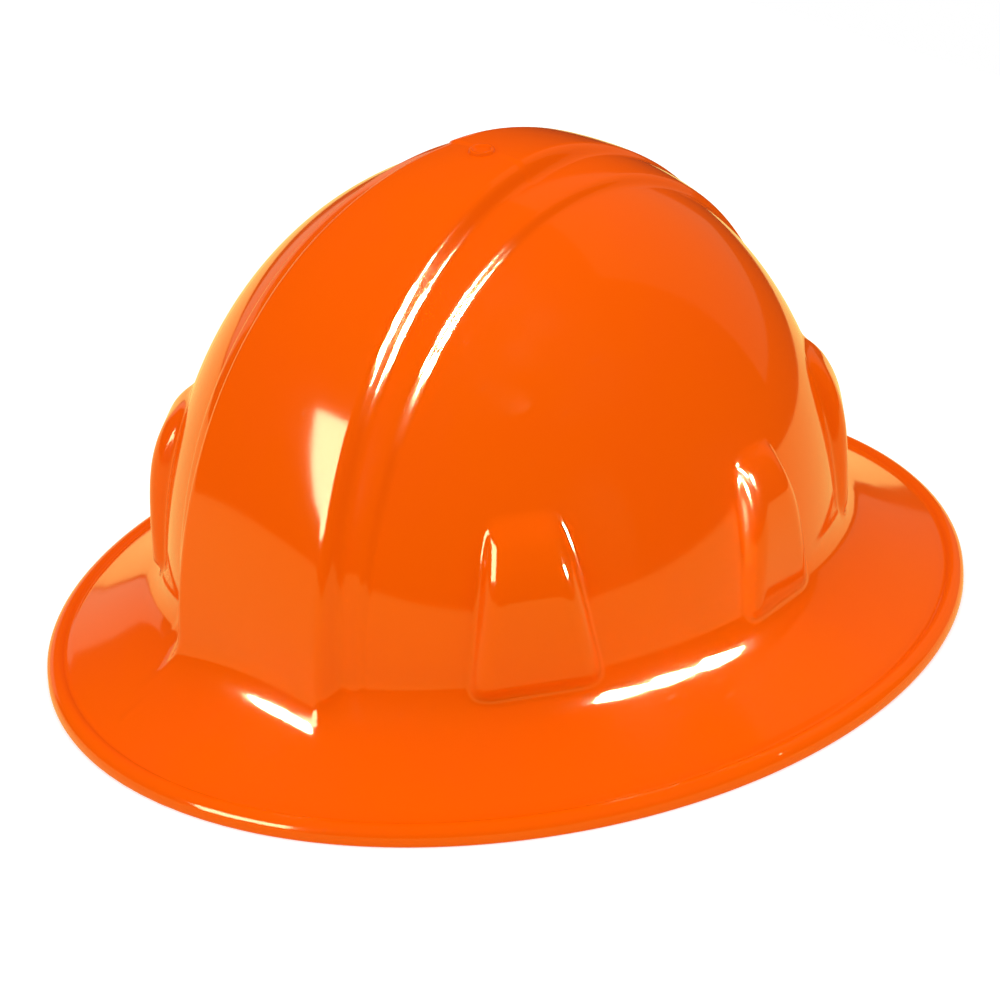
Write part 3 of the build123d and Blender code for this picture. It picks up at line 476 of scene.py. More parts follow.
def underAndInside(loop, underStart):
    # the brim's underside, a wall lower, to the dome's inner foot; then the inner wall up to the pole
    g, b, dome = shellGrid, brimValues, domeValues
    plan = levelWays(np.arctan2(loop[:, 1], loop[:, 0]))
    underEnd = plan / np.hypot(plan[:, 0] / (dome["long"] - dome["wall"]),
                               plan[:, 1] / (dome["wide"] - dome["wall"]))[:, None]
    rows = []
    for row in range(1, g["underRows"] + 1):
        t = row / g["underRows"]
        spot = underStart * (1 - t) + underEnd * t
        ratio = np.hypot(spot[:, 0] / b["halfLong"], spot[:, 1] / b["halfWide"])
        spot[:, 2] = brimHeight(ratio) - b["wall"] - b["thickening"] * t
        rows.append(spot)
    rows += [axisHits(innerField, height, plan, 130.0) for height in innerHeights]
    first = np.arcsin(np.clip(unit(rows[-1] - domeCenter)[:, 2], 0.0, 1.0))
    for row in range(1, g["innerRows"]):
        rise = (first + (math.pi / 2 - first) * row / g["innerRows"])[:, None]
        rows.append(centreHits(innerField, plan * np.cos(rise) + upWay * np.sin(rise), 60.0, 150.0))
    pole = centreHits(innerField, upWay[None], 60.0, 150.0)
    return rows + [np.tile(pole, (len(loop), 1))]


def skirtGrid(loop):
    # one closed skirt from the dome's foot loop over the brim, round the rim and up the inside to the pole
    b = brimValues
    turn = np.arctan2(loop[:, 1] / b["halfWide"], loop[:, 0] / b["halfLong"])
    rim = levelWays(turn) * [b["halfLong"], b["halfWide"], 0.0]
    rimWay = unit(levelWays(turn) / [b["halfLong"], b["halfWide"], 1.0])
    rows = footAndBrim(loop, rim, rimWay)
    lipHeight = rows[-1][:, 2].mean()
    section = [(inward, lipHeight + height) for inward, height in lipSection] + rimSection
    section.append((lipUnderside[0], lipHeight + lipUnderside[1]))
    rows += [rim - rimWay * inward + upWay * height for inward, height in section]
    return closedRound(np.array(rows + underAndInside(loop, rows[-1])))


def shellMesh():
    # the moulding in grids that share their edges: the strip over the crown, two patches and their mirror
    # images, and the skirt
    heights = lowerHeights()
    strip, angles = centreStrip(heights)
    patch = lowerPatch(strip, angles, heights)
    low, columns = shellGrid["lowRows"], shellGrid["columns"]
    upper = upperPatch(patch[-1], strip[low:low + columns + 1, -1])
    flip = np.array([1.0, -1.0, 1.0])
    both = np.concatenate([(strip * flip)[:, ::-1][:, :-1], strip], 1)
    # round the foot: front strip, left side, rear strip, right side
    loop = np.concatenate([both[0, :-1], patch[0, :-1], both[-1, ::-1][:-1], (patch[0] * flip)[::-1][:-1]], 0)
    points, faces, count = [], [], 0
    for grid, turned in ((both, False), (patch, False), (patch * flip, True), (upper, False),
                         (upper * flip, True), (skirtGrid(loop), True)):
        ids = gridIds(*grid.shape[:2], count)
        points.append(grid.reshape(-1, 3))
        faces.append(gridQuads(ids[:, ::-1] if turned else ids))
        count += ids.size
    return np.concatenate(points), np.concatenate(faces)


print("stage: shell surface")
hatShell = meshObject("hatShell", *shellMesh(), merge=2e-7)
gateRing = gateMark()
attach(hatShell, "hat")
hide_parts("shell")

keyValues = {
    "long": 119.2, "wide": 103.4, "tail": 39.95, "tailIn": -13.45, "backIn": -17.75, "runIn": -11.9,
    "turnLow": 16.05, "turnHigh": 24.95, "runTop": 46.6, "bend": 0.96,
}
strapValues = {
    "width": 19.6, "thick": 1.1, "power": 1.75, "crownX": -17.0, "steps": 70, "across": 12,
    "boxHalf": 7.5, "boxLow": 28.0, "boxHigh": 37.0, "stitchPitch": 2.8,
}
# straps: name, the angles of the two keys, height at the crown, replaced node
strapRuns = [
    ("webSide", 101.0, -101.0, 127.0, "strap_side"),
    ("webDiagonalLeft", 48.0, -142.0, 128.9, "strap_diagonal_left"),
    ("webDiagonalRight", -48.0, 142.0, 130.8, "strap_diagonal_right"),
]


def keyPlace(angle):
    # the point on the dome's foot at an angle from the front, its outward way and its sideways way
    v = keyValues
    a = math.radians(angle)
    reach = 1.0 / math.hypot(math.cos(a) / v["long"], math.sin(a) / v["wide"])
    spot = np.array([reach * math.cos(a), reach * math.sin(a), domeValues["base"]])
    outward = np.array([spot[0] / v["long"] ** 2, spot[1] / v["wide"] ** 2, 0.0])
    outward /= np.linalg.norm(outward)
    return spot, outward, np.array([-outward[1], outward[0], 0.0])


def roundedRoute(corners, radius, steps=6):
    # straight runs joined by arcs that touch both runs
    corners = [np.array(c, dtype=float) for c in corners]
    route = [corners[0]]
    for before, spot, after in zip(corners, corners[1:], corners[2:]):
        toBack = (before - spot) / np.linalg.norm(before - spot)
        toNext = (after - spot) / np.linalg.norm(after - spot)
        half = math.acos(np.clip(toBack @ toNext, -1, 1)) / 2
        cut = radius / math.tan(half)
        middle = spot + (toBack + toNext) / np.linalg.norm(toBack + toNext) * radius / math.sin(half)
        first, last = spot + toBack * cut - middle, spot + toNext * cut - middle
        sweep = math.pi - 2 * half
        for step in range(steps + 1):
            t = sweep * step / steps
            route.append(middle + (first * math.sin(sweep - t) + last * math.sin(t)) / math.sin(sweep))
    route.append(corners[-1])
    return np.array(route)


def strapPath(startAngle, endAngle, crownHeight):
    # tail, loop round the key's bar, then a superelliptic rise to the crown, and the same down again
    v, k = strapValues, keyValues
    crown = np.array([v["crownX"], 0.0, crownHeight])
    start, end = keyPlace(startAngle), keyPlace(endAngle)
    chord = unit(end[0] - start[0])
    crownSide = np.cross(upWay, chord)
    halves = []
    for spot, outward, side in (start, end):
        side = side if side @ crownSide > 0 else -side
        corners = [(k["tailIn"], k["tail"]), (k["tailIn"], k["turnHigh"]), (k["backIn"], k["turnHigh"]),
                   (k["backIn"], k["turnLow"]), (k["runIn"], k["turnLow"]), (k["runIn"], k["runTop"])]
        flatRoute = roundedRoute(corners, k["bend"])
        loop = spot + outward * flatRoute[:, :1] + upWay * flatRoute[:, 1:]
        top = loop[-1]
        a = np.radians(np.linspace(90.0, 0.0, v["steps"]))[1:]
        outShare = np.sin(a) ** (2 / v["power"])
        upShare = np.cos(a) ** (2 / v["power"])
        flat = (top - crown) * [1, 1, 0]
        rise = crown + flat * outShare[:, None]
        rise[:, 2] = crown[2] + (top[2] - crown[2]) * (1 - upShare)
        sides = np.concatenate([np.tile(side, (len(loop), 1)),
                                crownSide * (1 - outShare[:, None]) + side * outShare[:, None]])
        halves.append((np.concatenate([loop, rise]), sides))
    path = np.concatenate([halves[0][0], halves[1][0][::-1][1:]])
    sides = np.concatenate([halves[0][1], halves[1][1][::-1][1:]])
    return path, sides


def webSection(width, thick, across):
    # flat both ways, with a fuller woven edge along each side
    s = np.linspace(-0.5, 0.5, across) * (width - thick)
    body = thick / 2 * (1 + 0.22 * np.exp(-((np.abs(s) - width * 0.45) / 0.8) ** 2))
    turn = np.radians(np.linspace(60, -60, 4))
    edge = np.stack([(width - thick) / 2 + thick / 2 * np.cos(turn), thick / 2 * np.sin(turn)], 1)
    top = np.stack([s, body], 1)
    return np.concatenate([top, edge, -top, -edge])


def tubeObject(name, rings, along, across):
    # rings of points carried along a path, closed round and at both ends, with a UV map in metres
    count, around = rings.shape[:2]
    ids = gridIds(count, around)
    faces = gridQuads(closedRound(ids)).tolist() + [ids[0, ::-1].tolist(), ids[-1].tolist()]
    piece = meshObject(name, rings.reshape(-1, 3), faces)
    mesh = piece.data
    spots = np.stack([np.repeat(along, around), np.tile(across, count)], 1) * mm
    corner = np.zeros(len(mesh.loops), dtype=np.int64)
    mesh.loops.foreach_get("vertex_index", corner)
    layer = mesh.uv_layers.new(name="weaveMap")
    layer.data.foreach_set("uv", spots[corner].astype(np.float32).ravel())
    return piece


def sweepSection(path, sides, section):
    # the section's two ways laid along the path's sideways way and its upright one; also the length run
    tangent = unit(np.gradient(path, axis=0))
    sides = unit(sides - tangent * (sides * tangent).sum(1, keepdims=True))
    up = np.cross(sides, tangent)
    rings = path[:, None] + sides[:, None] * section[None, :, :1] + up[:, None] * section[None, :, 1:]
    return rings, distances(path)


def stitchRow(points, ways, ups, length=2.3, thick=0.62, lift=0.12):
    # small threads, round and tapered at both ends, lying along a line
    turn = np.linspace(0, 2 * np.pi, 7)[:-1]
    share = np.array([-1.0, -0.86, -0.5, 0.0, 0.5, 0.86, 1.0])
    girth = np.sqrt(np.maximum(1 - share ** 4, 0.0)) + 0.02
    side = np.cross(ups, ways)
    sidePart = girth[:, None] * np.cos(turn)
    upPart = girth[:, None] * np.sin(turn) * 0.8 + (1 - share ** 2)[:, None] * 0.2
    rings = (points[:, None, None] + ups[:, None, None] * lift
             + ways[:, None, None] * (share * length / 2)[None, :, None, None]
             + side[:, None, None] * sidePart[None, :, :, None] * thick / 2
             + ups[:, None, None] * upPart[None, :, :, None] * thick / 2)
    count, rows, around = rings.shape[:3]
    ids = gridIds(rows, around)
    first = (np.arange(count) * rows * around)[:, None, None]
    faces = (gridQuads(closedRound(ids)) + first).reshape(-1, 4).tolist()
    for end in (ids[0, ::-1], ids[-1]):
        faces += (end + first[:, 0]).tolist()
    return rings.reshape(-1, 3), faces


def threadObject(name, rows):
    # rows of stitches joined into one mesh
    points, faces, count = [], [], 0
    for rowPoints, rowFaces in rows:
        points.append(rowPoints)
        faces += [[i + count for i in f] for f in rowFaces]
        count += len(rowPoints)
    return meshObject(name, np.concatenate(points), faces)


def tailStitches(spot, outward, side):
    # a crossed box of stitches that holds a strap's tail to its run
    v = strapValues
    face = spot + outward * (keyValues["runIn"] + v["thick"] / 2)
    half, low, high = v["boxHalf"], v["boxLow"], v["boxHigh"]
    rows = []
    for (s0, z0), (s1, z1) in (((-half, low), (half, low)), ((-half, high), (half, high)),
                               ((-half, low), (-half, high)), ((half, low), (half, high)),
                               ((-half, low), (half, high)), ((-half, high), (half, low))):
        length = math.hypot(s1 - s0, z1 - z0)
        count = max(int(length / v["stitchPitch"]), 2)
        t = ((np.arange(count) + 0.5) / count)[:, None]
        points = face + side * (s0 + (s1 - s0) * t) + upWay * (z0 + (z1 - z0) * t)
        way = (side * (s1 - s0) + upWay * (z1 - z0)) / length
        rows.append(stitchRow(points, np.tile(way, (count, 1)), np.tile(outward, (count, 1)), lift=0.0))
    return rows


print("stage: webbing")
section = webSection(strapValues["width"], strapValues["thick"], strapValues["across"])
straps, strapThreads = [], []
for name, first, last, height, node in strapRuns:
    path, sides = strapPath(first, last, height)
    rings, along = sweepSection(path, sides, section)
    piece = tubeObject(name, rings, along, section[:, 0])
    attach(piece, "hat")
    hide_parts(node)
    straps.append(piece)
    for angle in (first, last):
        strapThreads += tailStitches(*keyPlace(angle))

print("stage: crown pad")
crownPadValues = {
    "radius": 28.0, "thick": 1.6, "sag": 4.8, "top": 126.05, "ringIn": 3.2, "puff": 0.35, "stitches": 52,
    "sunkTop": 0.2, "sunkUnder": 0.3,
}


def crownPadSurface():
    # a thin disc on a sphere's cap, rolled at its edge, dipped along the sewn ring
    v = crownPadValues
    ball = (v["radius"] ** 2 + v["sag"] ** 2) / (2 * v["sag"])
    r = np.concatenate([np.linspace(0, v["radius"] - 1.0, 27)[1:], v["radius"] - 1.0 + np.sin(
        np.radians([30, 60, 80])) * 0.9])
    drop = ball - np.sqrt(ball ** 2 - r ** 2)
    seam = np.exp(-((r - (v["radius"] - v["ringIn"])) / 0.7) ** 2) * v["puff"]
    edge = np.clip((r - (v["radius"] - 1.0)) / 1.0, 0, 1)
    half = v["thick"] / 2 * np.sqrt(1 - edge ** 2 * 0.96)
    middle = v["top"] - v["thick"] / 2 - drop
    upper, lower = middle + half - seam * 0.6, middle - half + seam
    profileR = np.concatenate([[0.0], r, [v["radius"]], r[::-1], [0.0]])
    profileZ = np.concatenate([[v["top"]], upper, [middle[-1]], lower[::-1], [v["top"] - v["thick"]]])
    turn = np.linspace(0, 2 * np.pi, 97)[:-1]
    x = strapValues["crownX"] + profileR[:, None] * np.cos(turn)
    grid = np.stack([x, profileR[:, None] * np.sin(turn), np.repeat(profileZ[:, None], len(turn), 1)], -1)
    return grid.reshape(-1, 3), gridQuads(closedRound(gridIds(*grid.shape[:2])))


def crownPadStitches():
    # one ring of stitches on the pad's upper face and one on its lower face
    v = crownPadValues
    radius = v["radius"] - v["ringIn"]
    ball = (v["radius"] ** 2 + v["sag"] ** 2) / (2 * v["sag"])
    turn = np.linspace(0, 2 * np.pi, v["stitches"] + 1)[:-1]
    rows = []
    for faceSign, height in ((1.0, v["top"] - v["sunkTop"]), (-1.0, v["top"] - v["thick"] + v["sunkUnder"])):
        level = height - (ball - math.sqrt(ball ** 2 - radius ** 2))
        spots = levelWays(turn) * radius + [strapValues["crownX"], 0.0, level]
        normals = np.tile(upWay * faceSign, (len(turn), 1))
        rows.append(stitchRow(spots, levelWays(turn + np.pi / 2), normals, length=2.2))
    return rows


crownPatch = meshObject("crownPatch", *crownPadSurface(), merge=1e-7)
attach(crownPatch, "hat")
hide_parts("crown_pad")
strapThreads += crownPadStitches()
hatThreads = threadObject("hatThreads", strapThreads)
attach(hatThreads, "hat")

print("stage: pads")
browValues = {
    "centerX": 2.0, "long": 96.0, "wide": 79.0, "faceIn": 1.55, "thick": 4.0, "low": 33.0, "high": 54.15,
    "halfAngle": 61.6, "channels": 9, "steps": 260, "ends": 5.0,
}
napeValues = {
    "centerX": -21.0, "radius": 72.6, "half": 31.0, "halfHeight": 12.0, "thick": 4.5, "middle": 38.0,
    "channels": 4, "steps": 120, "ends": 5.0, "backRadius": 69.1, "trim": 0.985, "edgeIn": 0.2,
}


def padRings(center, ways, halfHeight, middle, thick, channels, ends):
    # a cushion section carried along an arc: flat on its back, crowned in front, drawn in at each
    # sewn channel and rounded off at both ends
    count = len(center)
    t = np.linspace(0.0, 1.0, count)
    channel = 1.0 - 0.42 * np.exp(-(((t * channels + 0.5) % 1.0 - 0.5) / 0.055) ** 2)
    channel[t * channels < 0.5] = 1.0
    channel[t * channels > channels - 0.5] = 1.0
    length = distances(center)
    fromEnd = np.minimum(length, length[-1] - length)
    corner = np.clip(fromEnd / ends, 0.0, 1.0)
    high = halfHeight - ends + ends * np.sqrt(1 - (1 - corner) ** 2)
    full = thick * channel * np.clip(fromEnd / 3.0, 0.0, 1.0) ** 0.35
    s = np.concatenate([np.linspace(-1, 1, 23), np.linspace(1, -1, 13)[1:-1]])
    front = np.concatenate([np.ones(23), np.zeros(11)])
    lipped = np.abs(s) > 0.80
    crown = (1 - np.abs(s) ** 4) ** 0.5 * 0.82 + 0.18 * (1 - s ** 2)
    seam = 0.30 * np.exp(-((np.abs(s) - 0.80) / 0.045) ** 2)
    depth = np.where(front > 0, crown - seam * (1 - 0.4 * lipped), 0.04 * (1 - s ** 2))
    rings = (center[:, None] + ways[:, None] * (full[:, None] * depth[None])[..., None])
    rings = rings + upWay * (middle + high[:, None] * s[None])[..., None]
    return rings, length, s * halfHeight


def padStitches(center, ways, offsets, middle, lift, gap=3.0):
    # rows of stitches along a pad's arc, above and below its middle
    tangents = unit(np.gradient(center, axis=0))
    rows = []
    length = distances(center)
    spots = np.arange(5.0, length[-1] - 5.0, gap)
    for offset in offsets:
        points = np.stack([np.interp(spots, length, center[:, i]) for i in range(3)], 1)
        way = unit(np.stack([np.interp(spots, length, tangents[:, i]) for i in range(3)], 1))
        out = unit(np.stack([np.interp(spots, length, ways[:, i]) for i in range(3)], 1))
        points = points + out * lift + upWay * (middle + offset)
        rows.append(stitchRow(points, way, out, length=2.1, thick=0.5, lift=0.0))
    return rows


def browArc():
    # an ellipse's front part, a little inside the hoop, and the way to its inside
    v = browValues
    t = np.radians(np.linspace(-v["halfAngle"], v["halfAngle"], v["steps"]))
    long, wide = v["long"] - v["faceIn"], v["wide"] - v["faceIn"]
    reach = 1.0 / np.hypot(np.cos(t) / long, np.sin(t) / wide)
    x, y = reach * np.cos(t), reach * np.sin(t)
    center = np.stack([x + v["centerX"], y, np.zeros_like(x)], 1)
    inward = -unit(np.stack([x / long ** 2, y / wide ** 2, np.zeros_like(x)], 1))
    return center, inward


halfBrow = (browValues["high"] - browValues["low"]) / 2
browMiddle = (browValues["high"] + browValues["low"]) / 2
center, inward = browArc()
rings, along, across = padRings(
    center, inward, halfBrow, browMiddle, browValues["thick"], browValues["channels"], browValues["ends"])
browCushion = tubeObject("browCushion", rings, along, across)
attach(browCushion, "headband")
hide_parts("brow_pad")
browThreads = threadObject("browThreads", padStitches(
    center, inward, (halfBrow * 0.8, -halfBrow * 0.8), browMiddle, browValues["thick"] * 0.55))
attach(browThreads, "headband")


def napeArc():
    # a circle's rear part on the housing's inner face, and the way to its inside
    v = napeValues
    t = np.linspace(-v["half"], v["half"], v["steps"]) / v["radius"] * v["trim"]
    inward = levelWays(-t)
    return inward * [-v["backRadius"], -v["backRadius"], 0.0] + [v["centerX"], 0.0, 0.0], inward


center, inward = napeArc()
rings, along, across = padRings(
    center, inward, napeValues["halfHeight"] - napeValues["edgeIn"], napeValues["middle"],
    napeValues["thick"], napeValues["channels"], napeValues["ends"])
napeCushion = tubeObject("napeCushion", rings, along, across)
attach(napeCushion, "ratchet")
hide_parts("nape_pad")
napeThreads = threadObject("napeThreads", padStitches(
    center, inward, (napeValues["halfHeight"] * 0.79, -napeValues["halfHeight"] * 0.79), napeValues["middle"],
    napeValues["thick"] * 0.55))
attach(napeThreads, "ratchet")

# Camera at the photograph's place, aimed so that the whole hat is framed as it is there
cameraValues = {
    "turn": 44.010, "rise": 26.466, "roll": -3.0, "distance": 1951.53, "focalPx": 5960.55, "framePx": 1000.0,
    "middlePx": (500.754, 449.834), "targetHeight": 60.0, "sensor": 36.0, "farEnd": 20.0,
}


def placeCamera():
    # on a ray from a point inside the hat, at the photograph's turn, rise, roll, lens and shift
    v = cameraValues
    a, e, r = (math.radians(v[k]) for k in ("turn", "rise", "roll"))
    back = np.array([math.cos(a) * math.cos(e), math.sin(a) * math.cos(e), math.sin(e)])
    right = unit(np.cross(-back, upWay))
    up = np.cross(right, -back)
    rolledRight = math.cos(r) * right + math.sin(r) * up
    rolledUp = -math.sin(r) * right + math.cos(r) * up
    place = upWay * v["targetHeight"] + back * v["distance"]
    data = bpy.data.cameras.new("photoCamera")
    data.sensor_width = v["sensor"]
    data.lens = v["focalPx"] / v["framePx"] * v["sensor"]
    data.shift_x = 0.5 - v["middlePx"][0] / v["framePx"]
    data.shift_y = v["middlePx"][1] / v["framePx"] - 0.5
    data.clip_end = v["farEnd"]
    camera = bpy.data.objects.new("photoCamera", data)
    rows = [[rolledRight[i], rolledUp[i], back[i], place[i] * mm] for i in range(3)]
    camera.matrix_world = Matrix(rows + [[0, 0, 0, 1]])
    bpy.context.collection.objects.link(camera)
    bpy.context.scene.camera = camera


placeCamera()

print("stage: studio")
studioValues = {
    "fillLow": 0.42, "fillHigh": 1.36, "worldGloss": 0.02,
    # the floor's warm colour to gloss rays is painted orange bounce light, reflected by the hat's gloss
    "floorColor": (0.78, 0.78, 0.78, 1.0), "floorPaintedBounce": (0.74, 0.63, 0.20, 1.0), "floorLift": 0.40,
    "floorSpan": (-0.45, 2.0, -2.0, 0.40), "lampAim": (0.0, 0.0, 0.08),
}
# soft lamps: name, azimuth, rise, distance, width, height, watts; the dome doesn't mirror them, and the
# floor lets the one beneath it through to the hat's underside
softLamps = [
    ("sideLamp", 100.0, 45.0, 1.7, 0.9, 0.9, 2.5),
    ("frontLamp", -10.0, 40.0, 1.7, 0.9, 0.9, 2.5),
    ("underLamp", 0.0, -89.0, 1.3, 1.4, 1.4, 9.0),
]
# cards: name, aim in mm, azimuth, rise, roll, distance, width, height, brightness, spread; only gloss shows
# them, and the narrow ones near the hat each catch one rounded edge or fillet
glossCards = [
    ("panelCard", (100, -10, 80), -14.0, 21.0, 13.0, 1.7, 0.86, 0.86, 24.0, 180.0),
    ("leftCard", (0, -100, 30), -114.0, 7.0, 0.0, 2.0, 1.7, 0.5, 0.55, 180.0),
    ("backCard", (0, 60, 100), 182.0, 27.0, 0.0, 2.0, 1.6, 2.2, 0.22, 180.0),
    ("frontFilletCardA", (122, 12, 28), -39.0, 36.0, 0.0, 0.12, 0.03, 0.03, 22.0, 20.0),
    ("frontFilletCardB", (121, 25, 28), -36.0, 36.0, 0.0, 0.12, 0.03, 0.03, 22.0, 20.0),
    ("sideFilletCardA", (48, 95, 30), 99.0, 45.0, 0.0, 0.12, 0.04, 0.03, 22.0, 22.0),
    ("sideFilletCardB", (30, 100, 30), 113.0, 41.0, 0.0, 0.12, 0.04, 0.03, 22.0, 22.0),
    ("sideFilletCardC", (12, 104, 30), 127.0, 36.0, 0.0, 0.12, 0.04, 0.03, 22.0, 22.0),
    ("frontSocketCard", (56, 85, 75), 112.0, 7.0, 0.0, 0.12, 0.015, 0.04, 30.0, 10.0),
    ("middleSocketCard", (-5, 99, 70), 17.0, 8.0, 0.0, 0.30, 0.04, 0.07, 75.0, 13.0),
]
# fans of small cards round one edge each: name, aim in mm, and each card's azimuth and rise; together they
# draw the white streak on the lower band's edge and the bright top of the middle socket
cardFans = [
    ("stepFanA", (69, 39, 126), [(95.0, 18.0), (85.0, 31.0), (79.0, 37.0)]),
    ("stepFanB", (61, 37, 134), [(104.0, 19.0), (96.0, 32.0), (88.0, 41.0)]),
    ("stepFanC", (52, 37, 140), [(108.0, 21.0), (100.0, 36.0), (97.0, 44.0)]),
    ("stepFanD", (44, 36, 145), [(112.0, 36.0)]),
    ("socketFan", (-9, 99, 76), [(56.0, 21.0), (82.0, 37.0), (109.0, 27.0)]),
]
fanCard = {"distance": 0.12, "width": 0.034, "height": 0.034, "brightness": 16.0, "spread": 7.0}
cardWarmth = {"leftCard": (1.0, 0.88, 0.60), "backCard": (1.0, 0.86, 0.55)}


def linkNodes(tree, pairs):
    # an output and the input that it feeds, for each pair
    for out, into in pairs:
        tree.links.new(out, into)


def addNode(tree, kind, x=0, y=0):
    # one new node at its place in the tree
    node = tree.nodes.new(kind)
    node.location = (x, y)
    return node


def mapRange(tree, value, low, high, toLow, toHigh, x=-500, y=0):
    # the value carried in a straight line from low..high to toLow..toHigh, held at the ends
    node = addNode(tree, "ShaderNodeMapRange", x, y)
    for key, number in (("From Min", low), ("From Max", high), ("To Min", toLow), ("To Max", toHigh)):
        node.inputs[key].default_value = number
    tree.links.new(value, node.inputs["Value"])
    return node.outputs["Result"]


def mathNode(tree, kind, first, second=None, third=None, x=0, y=0):
    # one math node on a link or number and up to two more
    node = addNode(tree, "ShaderNodeMath", x, y)
    node.operation = kind
    for slotIndex, value in enumerate((first, second, third)):
        if value is None:
            continue
        if isinstance(value, (int, float)):
            node.inputs[slotIndex].default_value = value
        else:
            tree.links.new(value, node.inputs[slotIndex])
    return node.outputs[0]


def bumpNode(tree, height, strength, distance, x=400, y=-300):
    # a height in metres turned into a normal
    node = addNode(tree, "ShaderNodeBump", x, y)
    node.inputs["Strength"].default_value = strength
    node.inputs["Distance"].default_value = distance
    tree.links.new(height, node.inputs["Height"])
    return node.outputs["Normal"]


def mixColors(tree, factor, first, second, x=200, y=200):
    # the first colour at factor 0, the second at factor 1
    node = addNode(tree, "ShaderNodeMix", x, y)
    node.data_type = "RGBA"
    tree.links.new(factor, node.inputs["Factor"])
    for socket, value in ((node.inputs[6], first), (node.inputs[7], second)):
        if isinstance(value, tuple):
            socket.default_value = value
        else:
            tree.links.new(value, socket)
    return node.outputs[2]


def studioWorld():
    # soft light that grows from the horizon to overhead; the camera sees white and gloss sees a dark room
    v = studioValues
    world = bpy.data.worlds.new("studioWorld")
    world.use_nodes = True
    tree = world.node_tree
    tree.nodes.clear()
    path = addNode(tree, "ShaderNodeLightPath", -600, 300).outputs
    split = addNode(tree, "ShaderNodeSeparateXYZ", -400, 0)
    tree.links.new(addNode(tree, "ShaderNodeTexCoord", -600, 0).outputs["Generated"], split.inputs[0])
    rise = mapRange(tree, split.outputs["Z"], 0.0, 1.0, v["fillLow"], v["fillHigh"], x=-200)
    mirror = mathNode(tree, "MAXIMUM", path["Is Glossy Ray"], path["Is Transmission Ray"], x=-200, y=260)
    light = rise
    for factor, value, x in ((mirror, v["worldGloss"], 100), (path["Is Camera Ray"], 1.0, 350)):
        choice = addNode(tree, "ShaderNodeMix", x)
        choice.data_type = "FLOAT"
        choice.inputs["B"].default_value = value
        linkNodes(tree, [(factor, choice.inputs["Factor"]), (light, choice.inputs["A"])])
        light = choice.outputs["Result"]
    back = addNode(tree, "ShaderNodeBackground", 700)
    back.inputs["Color"].default_value = (1.0, 1.0, 1.0, 1.0)
    out = addNode(tree, "ShaderNodeOutputWorld", 900)
    linkNodes(tree, [(light, back.inputs["Strength"]), (back.outputs[0], out.inputs[0])])
    bpy.context.scene.world = world


def studioFloor():
    # pale paper, lifted to the camera, clear from underneath and to the lamp below; to gloss rays it is a warm
    # colour, painted orange bounce light seen in the hat's reflections
    v = studioValues
    west, east, south, north = v["floorSpan"]
    mesh = bpy.data.meshes.new("studioFloor")
    corners = [(west, south, 0), (east, south, 0), (east, north, 0), (west, north, 0)]
    mesh.from_pydata(corners, [], [(0, 1, 2, 3)])
    floor = bpy.data.objects.new("studioFloor", mesh)
    bpy.context.collection.objects.link(floor)
    paper = bpy.data.materials.new("studioPaper")
    paper.use_nodes = True
    tree = paper.node_tree
    tree.nodes.clear()
    path = addNode(tree, "ShaderNodeLightPath", -500, -100).outputs
    behind = addNode(tree, "ShaderNodeNewGeometry", 100, 300).outputs["Backfacing"]
    mirror = mathNode(tree, "MAXIMUM", path["Is Glossy Ray"], path["Is Transmission Ray"], x=-300)
    seen = mathNode(tree, "MAXIMUM", path["Is Camera Ray"], mirror, x=-100, y=-200)
    amount = mathNode(tree, "MULTIPLY", seen, v["floorLift"], x=100, y=-200)
    below = mathNode(tree, "MULTIPLY", behind, path["Is Camera Ray"], x=300, y=300)
    through = mathNode(tree, "MAXIMUM", below, path["Is Shadow Ray"], x=500, y=300)
    matt = addNode(tree, "ShaderNodeBsdfDiffuse", 300)
    lift = addNode(tree, "ShaderNodeEmission", 300, -200)
    both = addNode(tree, "ShaderNodeAddShader", 500)
    clear = addNode(tree, "ShaderNodeBsdfTransparent", 500, -200)
    pick = addNode(tree, "ShaderNodeMixShader", 700)
    out = addNode(tree, "ShaderNodeOutputMaterial", 900)
    linkNodes(tree, [
        # gloss rays see the floor in a warm colour: painted bounce light in the hat's reflections
        (mixColors(tree, mirror, v["floorColor"], v["floorPaintedBounce"], x=100, y=0), matt.inputs["Color"]),
        (mixColors(tree, mirror, (1.0, 1.0, 1.0, 1.0), v["floorPaintedBounce"], x=100, y=-400), lift.inputs["Color"]),
        (amount, lift.inputs["Strength"]),
        (matt.outputs[0], both.inputs[0]), (lift.outputs[0], both.inputs[1]),
        (through, pick.inputs[0]), (both.outputs[0], pick.inputs[1]), (clear.outputs[0], pick.inputs[2]),
        (pick.outputs[0], out.inputs[0]),
    ])
    mesh.materials.append(paper)


def studioLamp(name, aim, turn, rise, roll, distance, width, height, watts, spread):
    # a rectangular lamp on a ray from the aim point, facing back along it
    a, e = math.radians(turn), math.radians(rise)
    way = Vector((math.cos(a) * math.cos(e), math.sin(a) * math.cos(e), math.sin(e)))
    data = bpy.data.lights.new(name, "AREA")
    data.shape = "RECTANGLE"
    data.size, data.size_y, data.energy = width, height, watts
    data.spread = math.radians(spread)
    lamp = bpy.data.objects.new(name, data)
    lamp.location = way * distance + Vector(aim)
    facing = way.to_track_quat("Z", "Y").to_matrix() @ Matrix.Rotation(math.radians(roll), 3, "Z")
    lamp.rotation_euler = facing.to_euler()
    lamp.visible_camera = False
    bpy.context.collection.objects.link(lamp)
    return lamp


